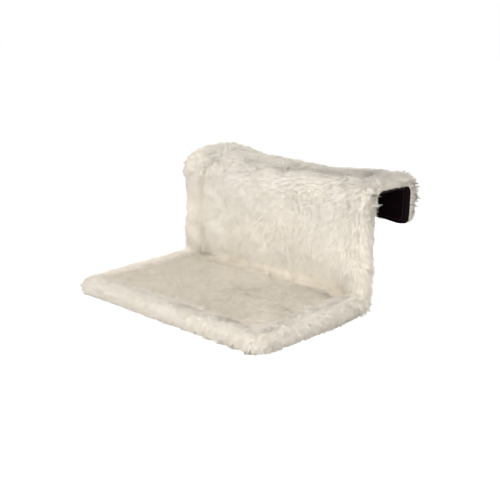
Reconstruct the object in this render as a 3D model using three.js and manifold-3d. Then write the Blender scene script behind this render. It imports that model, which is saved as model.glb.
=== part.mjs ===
// Cat bed that hangs over the top edge of a radiator.
// A seat loop, two side tubes and a hook loop make a steel frame.
// A plush cover with a dark lining is pulled over it.
// The hook loop slides in the side tubes to fit the depth of the radiator, and two thumb screws hold it.
// Millimetres. +X is the bed's right side seen from the front, +Y points to the wall, +Z is up.
// The origin is under the middle of the whole bed, on the surface that it stands on.

import * as THREE from "three";
import { mergeVertices } from "three/addons/utils/BufferGeometryUtils.js";
import Module from "manifold-3d";

const wasm = await Module();
wasm.setup();

// Whole bed
const overallWidth = 450;
const seatDepth = 308; // front edge of the plush to the rear face of the back
const hookHeight = 210; // underside of the seat to the underside of the hook's top run
const radiatorGap = 93; // clear depth inside the hook, pushed right in
const hookTravel = 35;

// Fits
const touchGap = 0.3; // between pieces that touch
const cutOverrun = 2; // how far a cutting solid runs past what it cuts

// Tubes
const uprightRadius = 9;
const seatTubeRadius = 7.5;
const hookTubeRadius = 6.5;
const crossbarRadius = 6.5;
const tubeWall = 1.2;
const cornerBend = 26; // seat to back
const shoulderBend = 28; // back to hook
const hookBend = 20; // hook loop, at its top and at its bottom corners
const seatBend = 22; // front corners of the seat loop
const legStraight = 2; // straight stretch between the hook loop's two bends
const footLength = 55; // side tube in front of its lower bend
const seatPlugLength = 40; // seat loop inside the foot
const mouthSetback = 3.5; // from the hook loop's bend to the mouth of the side tube
const tubeSides = 16;
const bendSteps = 5;

// Bush and guide of the sliding hook
const bushFlange = 3;
const bushSleeve = 12;
const guideLip = 2;
const guideStem = 12;
const guideBore = 3;

// Screws and nuts
const screwRadius = 2.5;
const screwHeadRadius = 4.5;
const screwHeadHeight = 3;
const screwCrownShare = 0.7; // flat top of the head, of its radius
const nutFlats = 8;
const nutHeight = 4;
const nutEndShow = 1.5; // screw that stands out of its nut
const seatScrewFromMouth = 20;
const plugLength = 18; // threaded plug in each end of the crossbar
const crossbarSetback = 10; // crossbar axis in front of the lower bend
const weldNutFlats = 10;
const weldNutHeight = 5;
const thumbScrewFromMouth = 6;
const knobRadius = 7.5;
const knobLength = 10;
const knobRidges = 18;
const knobRidgeDepth = 0.6;
const knobSpace = 0.6; // free space between a knob and what is beside it

// Plush cover and lining
const liningThickness = 2;
const rollOverhang = 19; // tube axis to the outer edge of the border roll
const rollInner = 17; // tube axis to the valley beside the panel
const liningInset = 9; // lining's edge inside the outer edge
const edgeLift = 0.8; // lowest plush over the lining's outer face
const edgeRound = 7.5; // round lower edge of the roll
const seatRollHeight = 34;
const seatPanelHeight = 26;
const seatValleyHeight = 20.5;
const backRollHeight = 40;
const backPanelHeight = 30;
const backValleyHeight = 25;
const topRollHeight = 30;
const topPanelHeight = 26;
const topValleyHeight = 25;
const flapRollHeight = 22;
const flapPanelHeight = 21;
const flapValleyHeight = 20;
const backSwell = 45; // run over which the roll grows from the seat's height to the back's
const topShrink = 40; // run over which it shrinks again
const panelEdge = 26; // run over which the panel rises from its valley
const panelLap = 9; // panel's edge inside the roll
const plushDrop = 56; // underside of the hook's top run to the plush hem
const liningDrop = 64; // the same, to the lining hem
const hemWaveDepth = 3;
const hemWaves = 3.5;
const hemSlices = 28;
const rollSteps = 8;
const edgeSteps = 3;
const rollMiddleShare = 0.45;

// Wadding and closure tape
const waddingThickness = 9;
const waddingInset = 24; // pad's side edge inside the valley beside the panel
const waddingChamfer = 3;
const waddingSetback = 18; // free stretch between a wadding pad and what ends its space
const tapeThickness = 1.5;
const tapeWidth = 14;
const tapeInset = 36; // tape's end inside the straight stretch of the hook loop's bar
const tapeFromHem = 1.5;

// Places worked out from the sizes
const quarterTurn = Math.PI / 2;
const centreLift = liningThickness + touchGap + uprightRadius; // tube axis over the lining's outer face
const plushBase = liningThickness + touchGap; // underside of the plush over the same face
const tubeX = overallWidth / 2 - rollOverhang;
const backY = -centreLift;
const seatZ = centreLift;
const topZ = hookHeight + centreLift;
const legY = radiatorGap + centreLift;
const barZ = topZ - 2 * hookBend - legStraight;
const frontY = rollOverhang - seatDepth;
const lowerBendY = backY - cornerBend;
const footMouthY = lowerBendY - footLength;
const armMouthY = legY - hookBend - mouthSetback;
const splitY = armMouthY + bushFlange; // where the cover parts between bed and hook
const armStartY = backY + shoulderBend;
const crossbarY = lowerBendY - crossbarSetback;
const seatScrewY = footMouthY + seatScrewFromMouth;
const thumbScrewY = armMouthY - thumbScrewFromMouth;
const uprightBore = uprightRadius - tubeWall;
const hookBore = hookTubeRadius - tubeWall;
const crossbarBore = crossbarRadius - tubeWall;
const screwHole = screwRadius + touchGap;
const waddingHalfWidth = tubeX - rollInner - waddingInset;
const tapeHalfLength = tubeX - hookBend - tapeInset;

// Finishes
const finish = (color, roughness, metalness) => new THREE.MeshStandardMaterial({ color, roughness, metalness });
const plush = finish(0xefe9db, 1, 0);
const lining = finish(0x14070a, 0.95, 0);
const wadding = finish(0xf6f6f2, 1, 0);
const tape = finish(0xe8e2d4, 0.9, 0);
const paintedSteel = finish(0xe4e4e0, 0.45, 0.2);
const zincSteel = finish(0xb9bcc0, 0.35, 0.9);
const plastic = finish(0x26262a, 0.55, 0);

// A three.js geometry as a solid that can be joined and cut
function solidFrom(geometry) {
  geometry.deleteAttribute("normal");
  geometry.deleteAttribute("uv");
  const merged = mergeVertices(geometry);
  const vertProperties = merged.attributes.position.array;
  const triVerts = new Uint32Array(merged.index.array);
  return new wasm.Manifold(new wasm.Mesh({ numProp: 3, vertProperties, triVerts }));
}

// A closed section carried along stations, each with its place and the directions of the section's two axes
function sweep(stations, sectionAt) {
  const positions = [];
  const faces = [];
  const sections = stations.map(sectionAt);
  const count = sections[0].length;
  stations.forEach((station, i) => {
    for (const [u, v] of sections[i]) {
      const point = station.at.clone().addScaledVector(station.u, u).addScaledVector(station.v, v);
      positions.push(point.x, point.y, point.z);
    }
  });
  for (let i = 0; i + 1 < stations.length; i++) {
    for (let j = 0; j < count; j++) {
      const a = i * count + j;
      const b = i * count + ((j + 1) % count);
      faces.push(a, b + count, b, a, a + count, b + count);
    }
  }
  const last = (stations.length - 1) * count;
  const flat = (section) => section.map(([u, v]) => new THREE.Vector2(u, v));
  for (const [a, b, c] of THREE.ShapeUtils.triangulateShape(flat(sections[0]), [])) faces.push(a, b, c);
  for (const [a, b, c] of THREE.ShapeUtils.triangulateShape(flat(sections.at(-1)), [])) {
    faces.push(last + a, last + c, last + b);
  }
  const geometry = new THREE.BufferGeometry();
  geometry.setAttribute("position", new THREE.Float32BufferAttribute(positions, 3));
  geometry.setIndex(faces);
  return solidFrom(geometry);
}

// Stations along a line through the given points, with every corner bent to one radius
function route(points, bendRadius, up) {
  let v = up.clone();
  let along = points[1].clone().sub(points[0]).normalize();
  const stations = [];
  const add = (at) => stations.push({ at, u: along.clone().cross(v), v: v.clone() });
  add(points[0]);
  for (let i = 1; i + 1 < points.length; i++) {
    const next = points[i + 1].clone().sub(points[i]).normalize();
    const axis = along.clone().cross(next).normalize();
    const turn = along.angleTo(next);
    const start = points[i].clone().addScaledVector(along, -bendRadius * Math.tan(turn / 2));
    const inward = axis.clone().cross(along);
    const centre = start.clone().addScaledVector(inward, bendRadius);
    const first = { along: along.clone(), v: v.clone() };
    for (let k = 0; k <= bendSteps; k++) {
      const angle = (turn * k) / bendSteps;
      along = first.along.clone().applyAxisAngle(axis, angle);
      v = first.v.clone().applyAxisAngle(axis, angle);
      add(centre.clone().addScaledVector(inward.clone().applyAxisAngle(axis, angle), -bendRadius));
    }
  }
  add(points.at(-1));
  return stations;
}

const at = (x, y, z) => new THREE.Vector3(x, y, z);
const upward = at(0, 0, 1);

function ring(radius, sides = tubeSides) {
  return Array.from({ length: sides }, (_, i) => {
    const angle = (2 * Math.PI * i) / sides;
    return [radius * Math.cos(angle), radius * Math.sin(angle)];
  });
}

// A tube with an open bore along a bent line
function bentTube(points, bendRadius, radius) {
  const longer = points.map((point) => point.clone());
  const overrun = (end, beside) => end.addScaledVector(end.clone().sub(beside).normalize(), cutOverrun);
  overrun(longer[0], points[1]);
  overrun(longer.at(-1), points.at(-2));
  const outside = sweep(route(points, bendRadius, upward), () => ring(radius));
  const bore = sweep(route(longer, bendRadius, upward), () => ring(radius - tubeWall));
  return outside.subtract(bore);
}

// A bar of the given section along X, from one place to another
function crossBar(fromX, toX, y, z, section) {
  const ends = fromX < toX ? [fromX, toX] : [toX, fromX];
  return sweep(route(ends.map((x) => at(x, y, z)), 0, upward), () => section);
}

// A solid turned from a profile of radius and height, with its axis laid along X or Y, pointing to sign
function turned(profile, axis, sign, place) {
  const geometry = new THREE.LatheGeometry(profile.map(([r, h]) => new THREE.Vector2(r, h)), tubeSides);
  if (axis === "x") geometry.rotateZ(-sign * quarterTurn);
  else if (sign < 0) geometry.rotateZ(2 * quarterTurn);
  geometry.translate(place.x, place.y, place.z);
  return solidFrom(geometry);
}

// The cover's line in the side view: straight and bent runs along the tube axis, from the front edge to the hem
const legRun = topZ - hookBend - (hookHeight - liningDrop);
const runs = [
  { length: seatDepth + lowerBendY, turn: 0 },
  { length: cornerBend * quarterTurn, turn: quarterTurn },
  { length: topZ - seatZ - cornerBend - shoulderBend, turn: 0 },
  { length: shoulderBend * quarterTurn, turn: -quarterTurn },
  { length: legY - hookBend - armStartY, turn: 0 },
  { length: hookBend * quarterTurn, turn: -quarterTurn },
  { length: legRun, turn: 0 },
];
const runStarts = runs.map((_, i) => runs.slice(0, i).reduce((sum, run) => sum + run.length, 0));
const [, cornerStart, backStart, shoulderStart, topStart, , legStart] = runStarts;
const cornerMiddle = (cornerStart + backStart) / 2;
const split = topStart + splitY - armStartY;
const plushHem = legStart + legRun - (liningDrop - plushDrop);
const liningHem = legStart + legRun;

// Place and heading on that line, with the section's v axis on the plush side
function coverStation(distance) {
  let y = -seatDepth;
  let z = seatZ;
  let heading = 0;
  runs.forEach((run, i) => {
    const share = THREE.MathUtils.clamp((distance - runStarts[i]) / run.length, 0, 1);
    const headed = heading + run.turn * share;
    if (run.turn === 0) {
      y += Math.cos(heading) * run.length * share;
      z += Math.sin(heading) * run.length * share;
    } else {
      const radius = run.length / run.turn;
      y += radius * (Math.sin(headed) - Math.sin(heading));
      z -= radius * (Math.cos(headed) - Math.cos(heading));
    }
    heading = headed;
  });
  return { distance, at: at(0, y, z), u: at(1, 0, 0), v: at(0, -Math.sin(heading), Math.cos(heading)) };
}

// Stations from one distance to another: both ends, every step of the bends between, and any others asked for
function coverStations(from, to, others = []) {
  const steps = runs.flatMap((run, i) => {
    const count = run.turn === 0 ? 1 : bendSteps;
    return Array.from({ length: count }, (_, k) => runStarts[i] + (run.length * k) / count);
  });
  const inside = [...steps, ...others].filter((s) => s > from + touchGap && s < to - touchGap);
  return [from, ...inside.sort((a, b) => a - b), to].map(coverStation);
}

// A value that runs straight between given places along the cover's line
function between(places, distance) {
  const next = places.findIndex(([s]) => s >= distance);
  if (next === -1) return places.at(-1)[1];
  if (next === 0) return places[0][1];
  const [s0, value0] = places[next - 1];
  const [s1, value1] = places[next];
  return value0 + ((value1 - value0) * (distance - s0)) / (s1 - s0);
}

const profileOf = (seat, back, top, flap) => [
  [backStart, seat],
  [backStart + backSwell, back],
  [shoulderStart, back],
  [topStart, top],
  [split - topShrink, top],
  [split, flap],
];
const rollHeights = profileOf(seatRollHeight, backRollHeight, topRollHeight, flapRollHeight);
const panelHeights = profileOf(seatPanelHeight, backPanelHeight, topPanelHeight, flapPanelHeight);
const valleyHeights = profileOf(seatValleyHeight, backValleyHeight, topValleyHeight, flapValleyHeight);

// The border roll's section, u from the tube axis: its underside, its outer side, its crest and the valley
function rollRim(height, valley) {
  const middle = height * rollMiddleShare;
  const edge = Array.from({ length: edgeSteps }, (_, k) => {
    const angle = quarterTurn * (k / edgeSteps - 1);
    const centre = [rollOverhang - edgeRound, edgeLift + edgeRound - centreLift];
    return [centre[0] + edgeRound * Math.cos(angle), centre[1] + edgeRound * Math.sin(angle)];
  });
  const crest = Array.from({ length: rollSteps + 1 }, (_, k) => {
    const angle = (Math.PI * k) / rollSteps;
    const [reach, foot] = k < rollSteps / 2 ? [rollOverhang, middle] : [rollInner, valley];
    return [reach * Math.cos(angle), foot + (height - foot) * Math.sin(angle) - centreLift];
  });
  const liningEdge = rollOverhang - liningInset + touchGap;
  return [[liningEdge, plushBase - centreLift], [liningEdge, edgeLift - centreLift], ...edge, ...crest];
}

// Half of the panel's upper face, from beside the roll to the middle
const panelShares = [0.985, 0.93, 0.8, 0.5];
function panelTop(valley, crown) {
  const halfWidth = tubeX - rollInner;
  return panelShares.map((share) => {
    const height = valley + (crown - valley) * (1 - share ** 8);
    return [halfWidth * share, height - centreLift];
  });
}

const mirrored = (points) => points.map(([u, v]) => [-u, v]).reverse();

// The whole width of the cover: roll, panel and roll
function bandSection({ distance }) {
  const valley = between(valleyHeights, distance);
  const rim = rollRim(between(rollHeights, distance), valley).map(([u, v]) => [u + tubeX, v]);
  const panel = panelTop(valley, between(panelHeights, distance));
  const half = [...rim, ...panel];
  return [...half, ...mirrored(half)];
}

// A flat strip between two heights over the lining's outer face, with its edges cut off aslant if asked
function stripSection(halfWidth, low, high, chamfer = 0) {
  const half = [[halfWidth - chamfer, low - centreLift]];
  if (chamfer > 0) half.push([halfWidth, low + chamfer - centreLift], [halfWidth, high - chamfer - centreLift]);
  half.push([halfWidth - chamfer, high - centreLift]);
  return [...half, ...mirrored(half)];
}

const strip = (from, to, ...section) => sweep(coverStations(from, to), () => stripSection(...section));

// Section of a tunnel for a tube or fastener: round on top and open to the lining
function archSection(radius) {
  const arch = ring(radius).filter(([, v]) => v > touchGap);
  return [[-radius, -centreLift], [radius, -centreLift], [radius, 0], ...arch, [-radius, 0]];
}

const tunnel = (points, bendRadius, radius) =>
  sweep(route(points, bendRadius, upward), () => archSection(radius));

const sides = [["left", -1], ["right", 1]];

// Lines that the tubes follow
const seatLine = (endY) => [
  at(-tubeX, endY, seatZ),
  at(-tubeX, frontY, seatZ),
  at(tubeX, frontY, seatZ),
  at(tubeX, endY, seatZ),
];
const uprightLine = (side, startY, endY) => [
  at(side * tubeX, startY, seatZ),
  at(side * tubeX, backY, seatZ),
  at(side * tubeX, backY, topZ),
  at(side * tubeX, endY, topZ),
];
const hookLine = (endY) => [
  at(-tubeX, endY, topZ),
  at(-tubeX, legY, topZ),
  at(-tubeX, legY, barZ),
  at(tubeX, legY, barZ),
  at(tubeX, legY, topZ),
  at(tubeX, endY, topZ),
];

// Ends of the hook loop inside the side tubes
const guideEndY = armStartY + touchGap;
const guideLength = armMouthY - bushSleeve - guideEndY - hookTravel - touchGap;
const hookEndY = guideEndY + guideLip;

// Seat loop: one tube bent round the front of the seat, with a screw hole near each end
function seatTube() {
  let tube = bentTube(seatLine(footMouthY + seatPlugLength), seatBend, seatTubeRadius);
  for (const [, side] of sides) {
    const place = (reach) => side * tubeX + reach;
    const ends = [place(-seatTubeRadius - cutOverrun), place(seatTubeRadius + cutOverrun)];
    tube = tube.subtract(crossBar(...ends, seatScrewY, seatZ, ring(screwHole)));
  }
  return tube;
}

// Bends of the side tube differ, so it is bent in two halves that share its straight stretch
function uprightOutline(side, startY, endY, section) {
  const middle = at(side * tubeX, backY, (seatZ + topZ) / 2);
  const line = uprightLine(side, startY, endY);
  const lower = route([line[0], line[1], middle], cornerBend, upward);
  const upper = route([middle, line[2], line[3]], shoulderBend, at(0, -1, 0));
  return sweep([...lower.slice(0, -1), ...upper.slice(1)], () => section);
}

// Side tube: foot, upright and arm, with holes for the seat screw, the crossbar screw and the thumb screw
function uprightTube(side) {
  const bore = uprightOutline(side, footMouthY - cutOverrun, armMouthY + cutOverrun, ring(uprightBore));
  const reach = uprightRadius + cutOverrun;
  const hole = (y, z, from, to) => crossBar(side * (tubeX + from), side * (tubeX + to), y, z, ring(screwHole));
  return uprightOutline(side, footMouthY, armMouthY, ring(uprightRadius))
    .subtract(bore)
    .subtract(hole(seatScrewY, seatZ, -reach, reach))
    .subtract(hole(crossbarY, seatZ, -reach, reach))
    .subtract(hole(thumbScrewY, topZ, -reach, 0));
}

const hookTube = () => bentTube(hookLine(hookEndY), hookBend, hookTubeRadius);

// Crossbar between the side tubes, at the rear of the seat
const crossbarHalf = tubeX - uprightRadius - touchGap;
const crossbarLine = (half) => [at(-half, crossbarY, seatZ), at(half, crossbarY, seatZ)];
const cornerCrossbar = () => bentTube(crossbarLine(crossbarHalf), 0, crossbarRadius);

// Threaded plug pressed into an end of the crossbar
function crossbarPlug(side) {
  const outer = crossbarBore - touchGap;
  const profile = [[screwHole, 0], [outer, 0], [outer, plugLength], [screwHole, plugLength], [screwHole, 0]];
  return turned(profile, "x", side, at(side * (crossbarHalf - plugLength), crossbarY, seatZ));
}

// Pan-head screw with its head on the outer side of a side tube, and a driver slot
function panScrew(side, y, length) {
  const seat = uprightRadius + touchGap;
  const crown = screwHeadRadius * screwCrownShare;
  const profile = [
    [0, -length],
    [screwRadius, -length],
    [screwRadius, 0],
    [screwHeadRadius, 0],
    [screwHeadRadius, screwHeadHeight / 2],
    [crown, screwHeadHeight],
    [0, screwHeadHeight],
  ];
  return turned(profile, "x", side, at(side * (tubeX + seat), y, seatZ));
}
const seatScrewLength = 2 * (uprightRadius + touchGap) + nutHeight + nutEndShow;
const crossbarScrewLength = 2 * (uprightRadius + touchGap) + plugLength - cutOverrun;

// Hexagonal nut with its bore along X, on the inner side of a side tube
function hexNut(side, flats, height, y, z) {
  const near = side * (tubeX - uprightRadius - touchGap);
  const far = near - side * height;
  const body = crossBar(far, near, y, z, ring(flats / Math.sqrt(3), 6));
  return body.subtract(crossBar(far - side * cutOverrun, near + side * cutOverrun, y, z, ring(screwHole)));
}

// Plastic bush in the mouth of a side tube: a flange, and a sleeve that the hook loop slides in
function hookBush(side) {
  const bore = hookTubeRadius + touchGap;
  const sleeve = uprightBore - touchGap;
  const profile = [
    [bore, -bushSleeve],
    [sleeve, -bushSleeve],
    [sleeve, touchGap],
    [uprightRadius, touchGap],
    [uprightRadius, bushFlange],
    [bore, bushFlange],
    [bore, -bushSleeve],
  ];
  const hole = crossBar(side * (tubeX - uprightRadius), side * tubeX, thumbScrewY, topZ, ring(screwHole));
  return turned(profile, "y", 1, at(side * tubeX, armMouthY, topZ)).subtract(hole);
}

// Plastic guide on the hook loop's end: it centres the loop in the side tube and stops it at the bush
function hookGuide(side) {
  const collar = uprightBore - touchGap;
  const overTube = hookTubeRadius + touchGap;
  const stem = hookBore - touchGap;
  const lip = guideLip - touchGap;
  const profile = [
    [guideBore, 0],
    [collar, 0],
    [collar, guideLength],
    [overTube, guideLength],
    [overTube, lip],
    [stem, lip],
    [stem, guideStem],
    [guideBore, guideStem],
    [guideBore, 0],
  ];
  return turned(profile, "y", 1, at(side * tubeX, guideEndY, topZ));
}

// Thumb screw: a ridged knob and a stem that bears on the hook loop
const knobStart = uprightRadius + touchGap + weldNutHeight + knobSpace;
function thumbScrew(side) {
  const place = (offset) => side * (tubeX - offset);
  const stemEnds = [place(hookTubeRadius + touchGap), place(knobStart + touchGap)];
  const outline = ring(knobRadius, 2 * knobRidges).map(([u, v], i) => {
    const share = i % 2 === 0 ? 1 : 1 - knobRidgeDepth / knobRadius;
    return [u * share, v * share];
  });
  const knob = crossBar(place(knobStart), place(knobStart + knobLength), thumbScrewY, topZ, outline);
  return knob.add(crossBar(...stemEnds, thumbScrewY, topZ, ring(screwRadius)));
}

// Room in the plush for the screw heads, the nuts and the knobs
function fastenerRooms(side) {
  const outerEnd = tubeX + uprightRadius + screwHeadHeight + 2 * touchGap;
  const nutEnd = tubeX - uprightRadius - nutHeight - nutEndShow - 2 * touchGap;
  const knobEnd = tubeX - knobStart - knobLength - knobSpace;
  const nutCorner = nutFlats / Math.sqrt(3);
  const room = (from, to, y, z, radius) => crossBar(side * from, side * to, y, z, ring(radius));
  return [
    room(tubeX, outerEnd, seatScrewY, seatZ, screwHeadRadius + touchGap),
    room(tubeX, outerEnd, crossbarY, seatZ, screwHeadRadius + touchGap),
    room(nutEnd, tubeX, seatScrewY, seatZ, nutCorner + touchGap),
    room(knobEnd, tubeX, thumbScrewY, topZ, knobRadius + knobSpace),
  ];
}

// All tunnels for the frame of the bed, cut from the plush that it passes through
function bedTunnels() {
  const tunnels = [
    tunnel(seatLine(footMouthY + cutOverrun), seatBend, seatTubeRadius + touchGap),
    tunnel(crossbarLine(tubeX), 0, crossbarRadius + touchGap),
  ];
  for (const [, side] of sides) {
    const section = archSection(uprightRadius + touchGap);
    tunnels.push(uprightOutline(side, footMouthY - touchGap, splitY + cutOverrun, section));
    tunnels.push(...fastenerRooms(side));
  }
  return tunnels;
}

const cutBy = (solid, cutters) => cutters.reduce((rest, cutter) => rest.subtract(cutter), solid);

// Wadding pads lie on the lining, in a recess of the plush
const crossbarFront = cornerStart - crossbarSetback - crossbarRadius;
const seatPad = [2 * rollOverhang + waddingSetback, crossbarFront - waddingSetback];
const backPad = [backStart + waddingSetback, shoulderStart - waddingSetback];
const padTop = plushBase + waddingThickness;
const waddingPad = ([from, to]) => strip(from, to, waddingHalfWidth, plushBase, padTop, waddingChamfer);
const waddingRecess = ([from, to]) => {
  const halfWidth = waddingHalfWidth + touchGap;
  return strip(from - touchGap, to + touchGap, halfWidth, liningThickness, padTop + touchGap);
};

// Plush on the seat: a border roll round the front and sides, and a sunken, crowned panel sewn in between
function seatPlush(tunnels) {
  const rim = rollRim(seatRollHeight, seatValleyHeight);
  const rollSection = () => [[-rollInner, plushBase - centreLift], ...rim];
  const line = seatLine(lowerBendY);
  const rear = coverStations(cornerStart, cornerMiddle - touchGap / 2).slice(1);
  const bent = (side) => rear.map((s) => ({ at: s.at.clone().setX(side * tubeX), u: at(side, 0, 0), v: s.v }));
  const stations = [...bent(-1).reverse(), ...route(line, seatBend, upward), ...bent(1)];
  const roll = sweep(stations, rollSection);
  const front = rollOverhang + rollInner - panelLap;
  const rises = [panelLap, panelLap + panelEdge / 4, panelLap + panelEdge];
  const panelStations = coverStations(front, cornerMiddle - touchGap / 2, rises.map((rise) => front + rise));
  const panel = sweep(panelStations, ({ distance }) => {
    const risen = THREE.MathUtils.clamp((distance - front - panelLap) / panelEdge, 0, 1);
    const crown = THREE.MathUtils.lerp(seatValleyHeight, seatPanelHeight, 1 - (1 - risen) ** 3);
    const top = panelTop(seatValleyHeight, crown);
    const lap = tubeX - rollInner + panelLap;
    const half = [[lap, plushBase - centreLift], [lap, seatValleyHeight - centreLift], ...top];
    return [...half, ...mirrored(half)];
  });
  return cutBy(roll.add(panel), [...tunnels, waddingRecess(seatPad)]);
}

const band = (from, to, others) => sweep(coverStations(from, to, others), bandSection);

function backPlush(tunnels) {
  const swell = [backStart + backSwell / 2, backStart + backSwell];
  const solid = band(cornerMiddle + touchGap / 2, shoulderStart - touchGap / 2, swell);
  return cutBy(solid, [...tunnels, waddingRecess(backPad)]);
}

function topPlush(tunnels) {
  return cutBy(band(shoulderStart + touchGap / 2, split - touchGap / 2, [split - topShrink]), tunnels);
}

// Closure tapes lie under the hook loop's bar, between lining and plush
const tapeRun = [plushHem - tapeFromHem - tapeWidth, plushHem - tapeFromHem];
const loopTape = () => strip(...tapeRun, tapeHalfLength, plushBase, plushBase + tapeThickness);
const hookTape = () => {
  const low = plushBase + tapeThickness + touchGap;
  return strip(...tapeRun, tapeHalfLength, low, low + tapeThickness);
};

function flapPlush() {
  const solid = band(split + touchGap / 2, plushHem, []);
  const hookTunnel = tunnel(hookLine(splitY - cutOverrun), hookBend, hookTubeRadius + touchGap);
  const tapeTop = plushBase + 2 * tapeThickness + 2 * touchGap;
  const recessRun = [tapeRun[0] - touchGap, plushHem + cutOverrun];
  const recess = strip(...recessRun, tapeHalfLength + touchGap, liningThickness, tapeTop);
  return solid.subtract(hookTunnel).subtract(recess);
}

// The lining is one dark cloth under the seat, behind the back and inside the hook
const liningHalf = overallWidth / 2 - liningInset;
const sheet = (from, to) => strip(from, to, liningHalf, 0, liningThickness);
const backLining = () => sheet(cornerMiddle + touchGap / 2, shoulderStart - touchGap / 2);
const topLining = () => sheet(shoulderStart + touchGap / 2, split - touchGap / 2);

// Its front corners under the seat follow the bent corners of the seat loop
function seatLining() {
  const radius = seatBend + rollOverhang - liningInset;
  const rounding = Array.from({ length: bendSteps }, (_, k) => {
    const angle = (quarterTurn * (k + 1)) / bendSteps;
    return liningInset + radius * (1 - Math.cos(angle));
  });
  const stations = coverStations(liningInset, cornerMiddle - touchGap / 2, rounding);
  return sweep(stations, ({ distance }) => {
    const run = Math.min(distance - liningInset, radius);
    const cornerCut = radius - Math.sqrt(radius ** 2 - (radius - run) ** 2);
    return stripSection(liningHalf - cornerCut, 0, liningThickness);
  });
}

// In the hook it hangs lower than the plush, and its free hem waves towards the radiator
function flapLining() {
  const wavesFrom = tapeRun[1] - tapeWidth;
  const steps = [0, 1, 2, 3].map((k) => wavesFrom + ((liningHem - wavesFrom) * k) / 4);
  return sweep(coverStations(split + touchGap / 2, liningHem, steps), ({ distance }) => {
    const hang = THREE.MathUtils.clamp((distance - wavesFrom) / (liningHem - wavesFrom), 0, 1);
    const row = (height) =>
      Array.from({ length: hemSlices + 1 }, (_, k) => {
        const share = (2 * k) / hemSlices - 1;
        const wave = (1 - Math.cos(hemWaves * 2 * Math.PI * (share + 1))) / 2;
        return [liningHalf * share, height - hemWaveDepth * wave * hang ** 2 - centreLift];
      });
    return [...row(0), ...row(liningThickness).reverse()];
  });
}

// The finished bed
const bed = new THREE.Group();

function addPiece(name, solid, material) {
  const { vertProperties, triVerts } = solid.getMesh();
  const geometry = new THREE.BufferGeometry();
  geometry.setAttribute("position", new THREE.BufferAttribute(vertProperties, 3));
  geometry.setIndex(new THREE.BufferAttribute(triVerts, 1));
  geometry.computeVertexNormals();
  const mesh = new THREE.Mesh(geometry, material);
  mesh.name = name;
  bed.add(mesh);
}

const tunnels = bedTunnels();
addPiece("seat_tube", seatTube(), paintedSteel);
addPiece("hook_tube", hookTube(), paintedSteel);
addPiece("corner_crossbar", cornerCrossbar(), paintedSteel);
for (const [name, side] of sides) {
  addPiece(`upright_tube_${name}`, uprightTube(side), paintedSteel);
  addPiece(`crossbar_plug_${name}`, crossbarPlug(side), zincSteel);
  addPiece(`crossbar_screw_${name}`, panScrew(side, crossbarY, crossbarScrewLength), zincSteel);
  addPiece(`seat_joint_screw_${name}`, panScrew(side, seatScrewY, seatScrewLength), zincSteel);
  addPiece(`seat_joint_nut_${name}`, hexNut(side, nutFlats, nutHeight, seatScrewY, seatZ), zincSteel);
  addPiece(`weld_nut_${name}`, hexNut(side, weldNutFlats, weldNutHeight, thumbScrewY, topZ), zincSteel);
  addPiece(`hook_bush_${name}`, hookBush(side), plastic);
  addPiece(`hook_guide_${name}`, hookGuide(side), plastic);
  addPiece(`thumb_screw_${name}`, thumbScrew(side), plastic);
}
addPiece("seat_wadding", waddingPad(seatPad), wadding);
addPiece("back_wadding", waddingPad(backPad), wadding);
addPiece("seat_plush", seatPlush(tunnels), plush);
addPiece("back_plush", backPlush(tunnels), plush);
addPiece("top_plush", topPlush(tunnels), plush);
addPiece("flap_plush", flapPlush(), plush);
addPiece("seat_lining", seatLining(), lining);
addPiece("back_lining", backLining(), lining);
addPiece("top_lining", topLining(), lining);
addPiece("flap_lining", flapLining(), lining);
addPiece("closure_tape_loop", loopTape(), tape);
addPiece("closure_tape_hook", hookTape(), tape);

// The middle of the whole depth goes to the origin
bed.position.y = (seatDepth - radiatorGap - flapRollHeight) / 2;

export default bed;
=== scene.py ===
"""Dresses the frame of a radiator cat bed: plush cover and pile, dark lining, pads, tapes and finishes."""

import math

import bmesh
import bpy
import numpy as np
from bpy.props import FloatProperty, FloatVectorProperty, IntProperty, PointerProperty
from mathutils import Matrix, Vector, kdtree


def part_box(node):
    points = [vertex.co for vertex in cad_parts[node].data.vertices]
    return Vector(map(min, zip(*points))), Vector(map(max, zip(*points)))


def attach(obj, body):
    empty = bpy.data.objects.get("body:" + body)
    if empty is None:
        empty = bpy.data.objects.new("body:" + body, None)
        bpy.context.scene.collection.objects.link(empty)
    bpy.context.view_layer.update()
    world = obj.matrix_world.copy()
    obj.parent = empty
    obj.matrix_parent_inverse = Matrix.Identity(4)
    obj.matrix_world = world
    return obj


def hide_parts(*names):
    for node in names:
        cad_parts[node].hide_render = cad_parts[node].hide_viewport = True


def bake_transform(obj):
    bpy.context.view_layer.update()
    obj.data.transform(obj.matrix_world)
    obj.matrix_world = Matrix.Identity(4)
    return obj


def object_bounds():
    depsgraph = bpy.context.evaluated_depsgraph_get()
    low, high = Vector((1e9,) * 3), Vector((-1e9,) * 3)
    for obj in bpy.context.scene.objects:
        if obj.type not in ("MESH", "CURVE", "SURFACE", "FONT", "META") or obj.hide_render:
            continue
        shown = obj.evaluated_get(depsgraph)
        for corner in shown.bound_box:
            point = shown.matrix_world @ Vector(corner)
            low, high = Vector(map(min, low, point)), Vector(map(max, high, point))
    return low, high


bl_info = {
    "name": "Radiator Cat Bed",
    "version": (1, 0, 0),
    "blender": (4, 5, 0),
    "location": "View3D > Sidebar > Cat Bed",
    "description": "Plush cover, pile, lining, pads and finishes on the frame of a radiator cat bed",
    "category": "Object",
}

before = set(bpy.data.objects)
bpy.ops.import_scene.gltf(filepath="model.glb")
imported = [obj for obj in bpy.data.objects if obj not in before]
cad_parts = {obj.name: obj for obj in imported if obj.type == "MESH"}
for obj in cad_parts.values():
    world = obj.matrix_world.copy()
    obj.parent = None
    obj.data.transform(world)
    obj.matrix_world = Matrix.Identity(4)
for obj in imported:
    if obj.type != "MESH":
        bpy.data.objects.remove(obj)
CAD_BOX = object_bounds()

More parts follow.
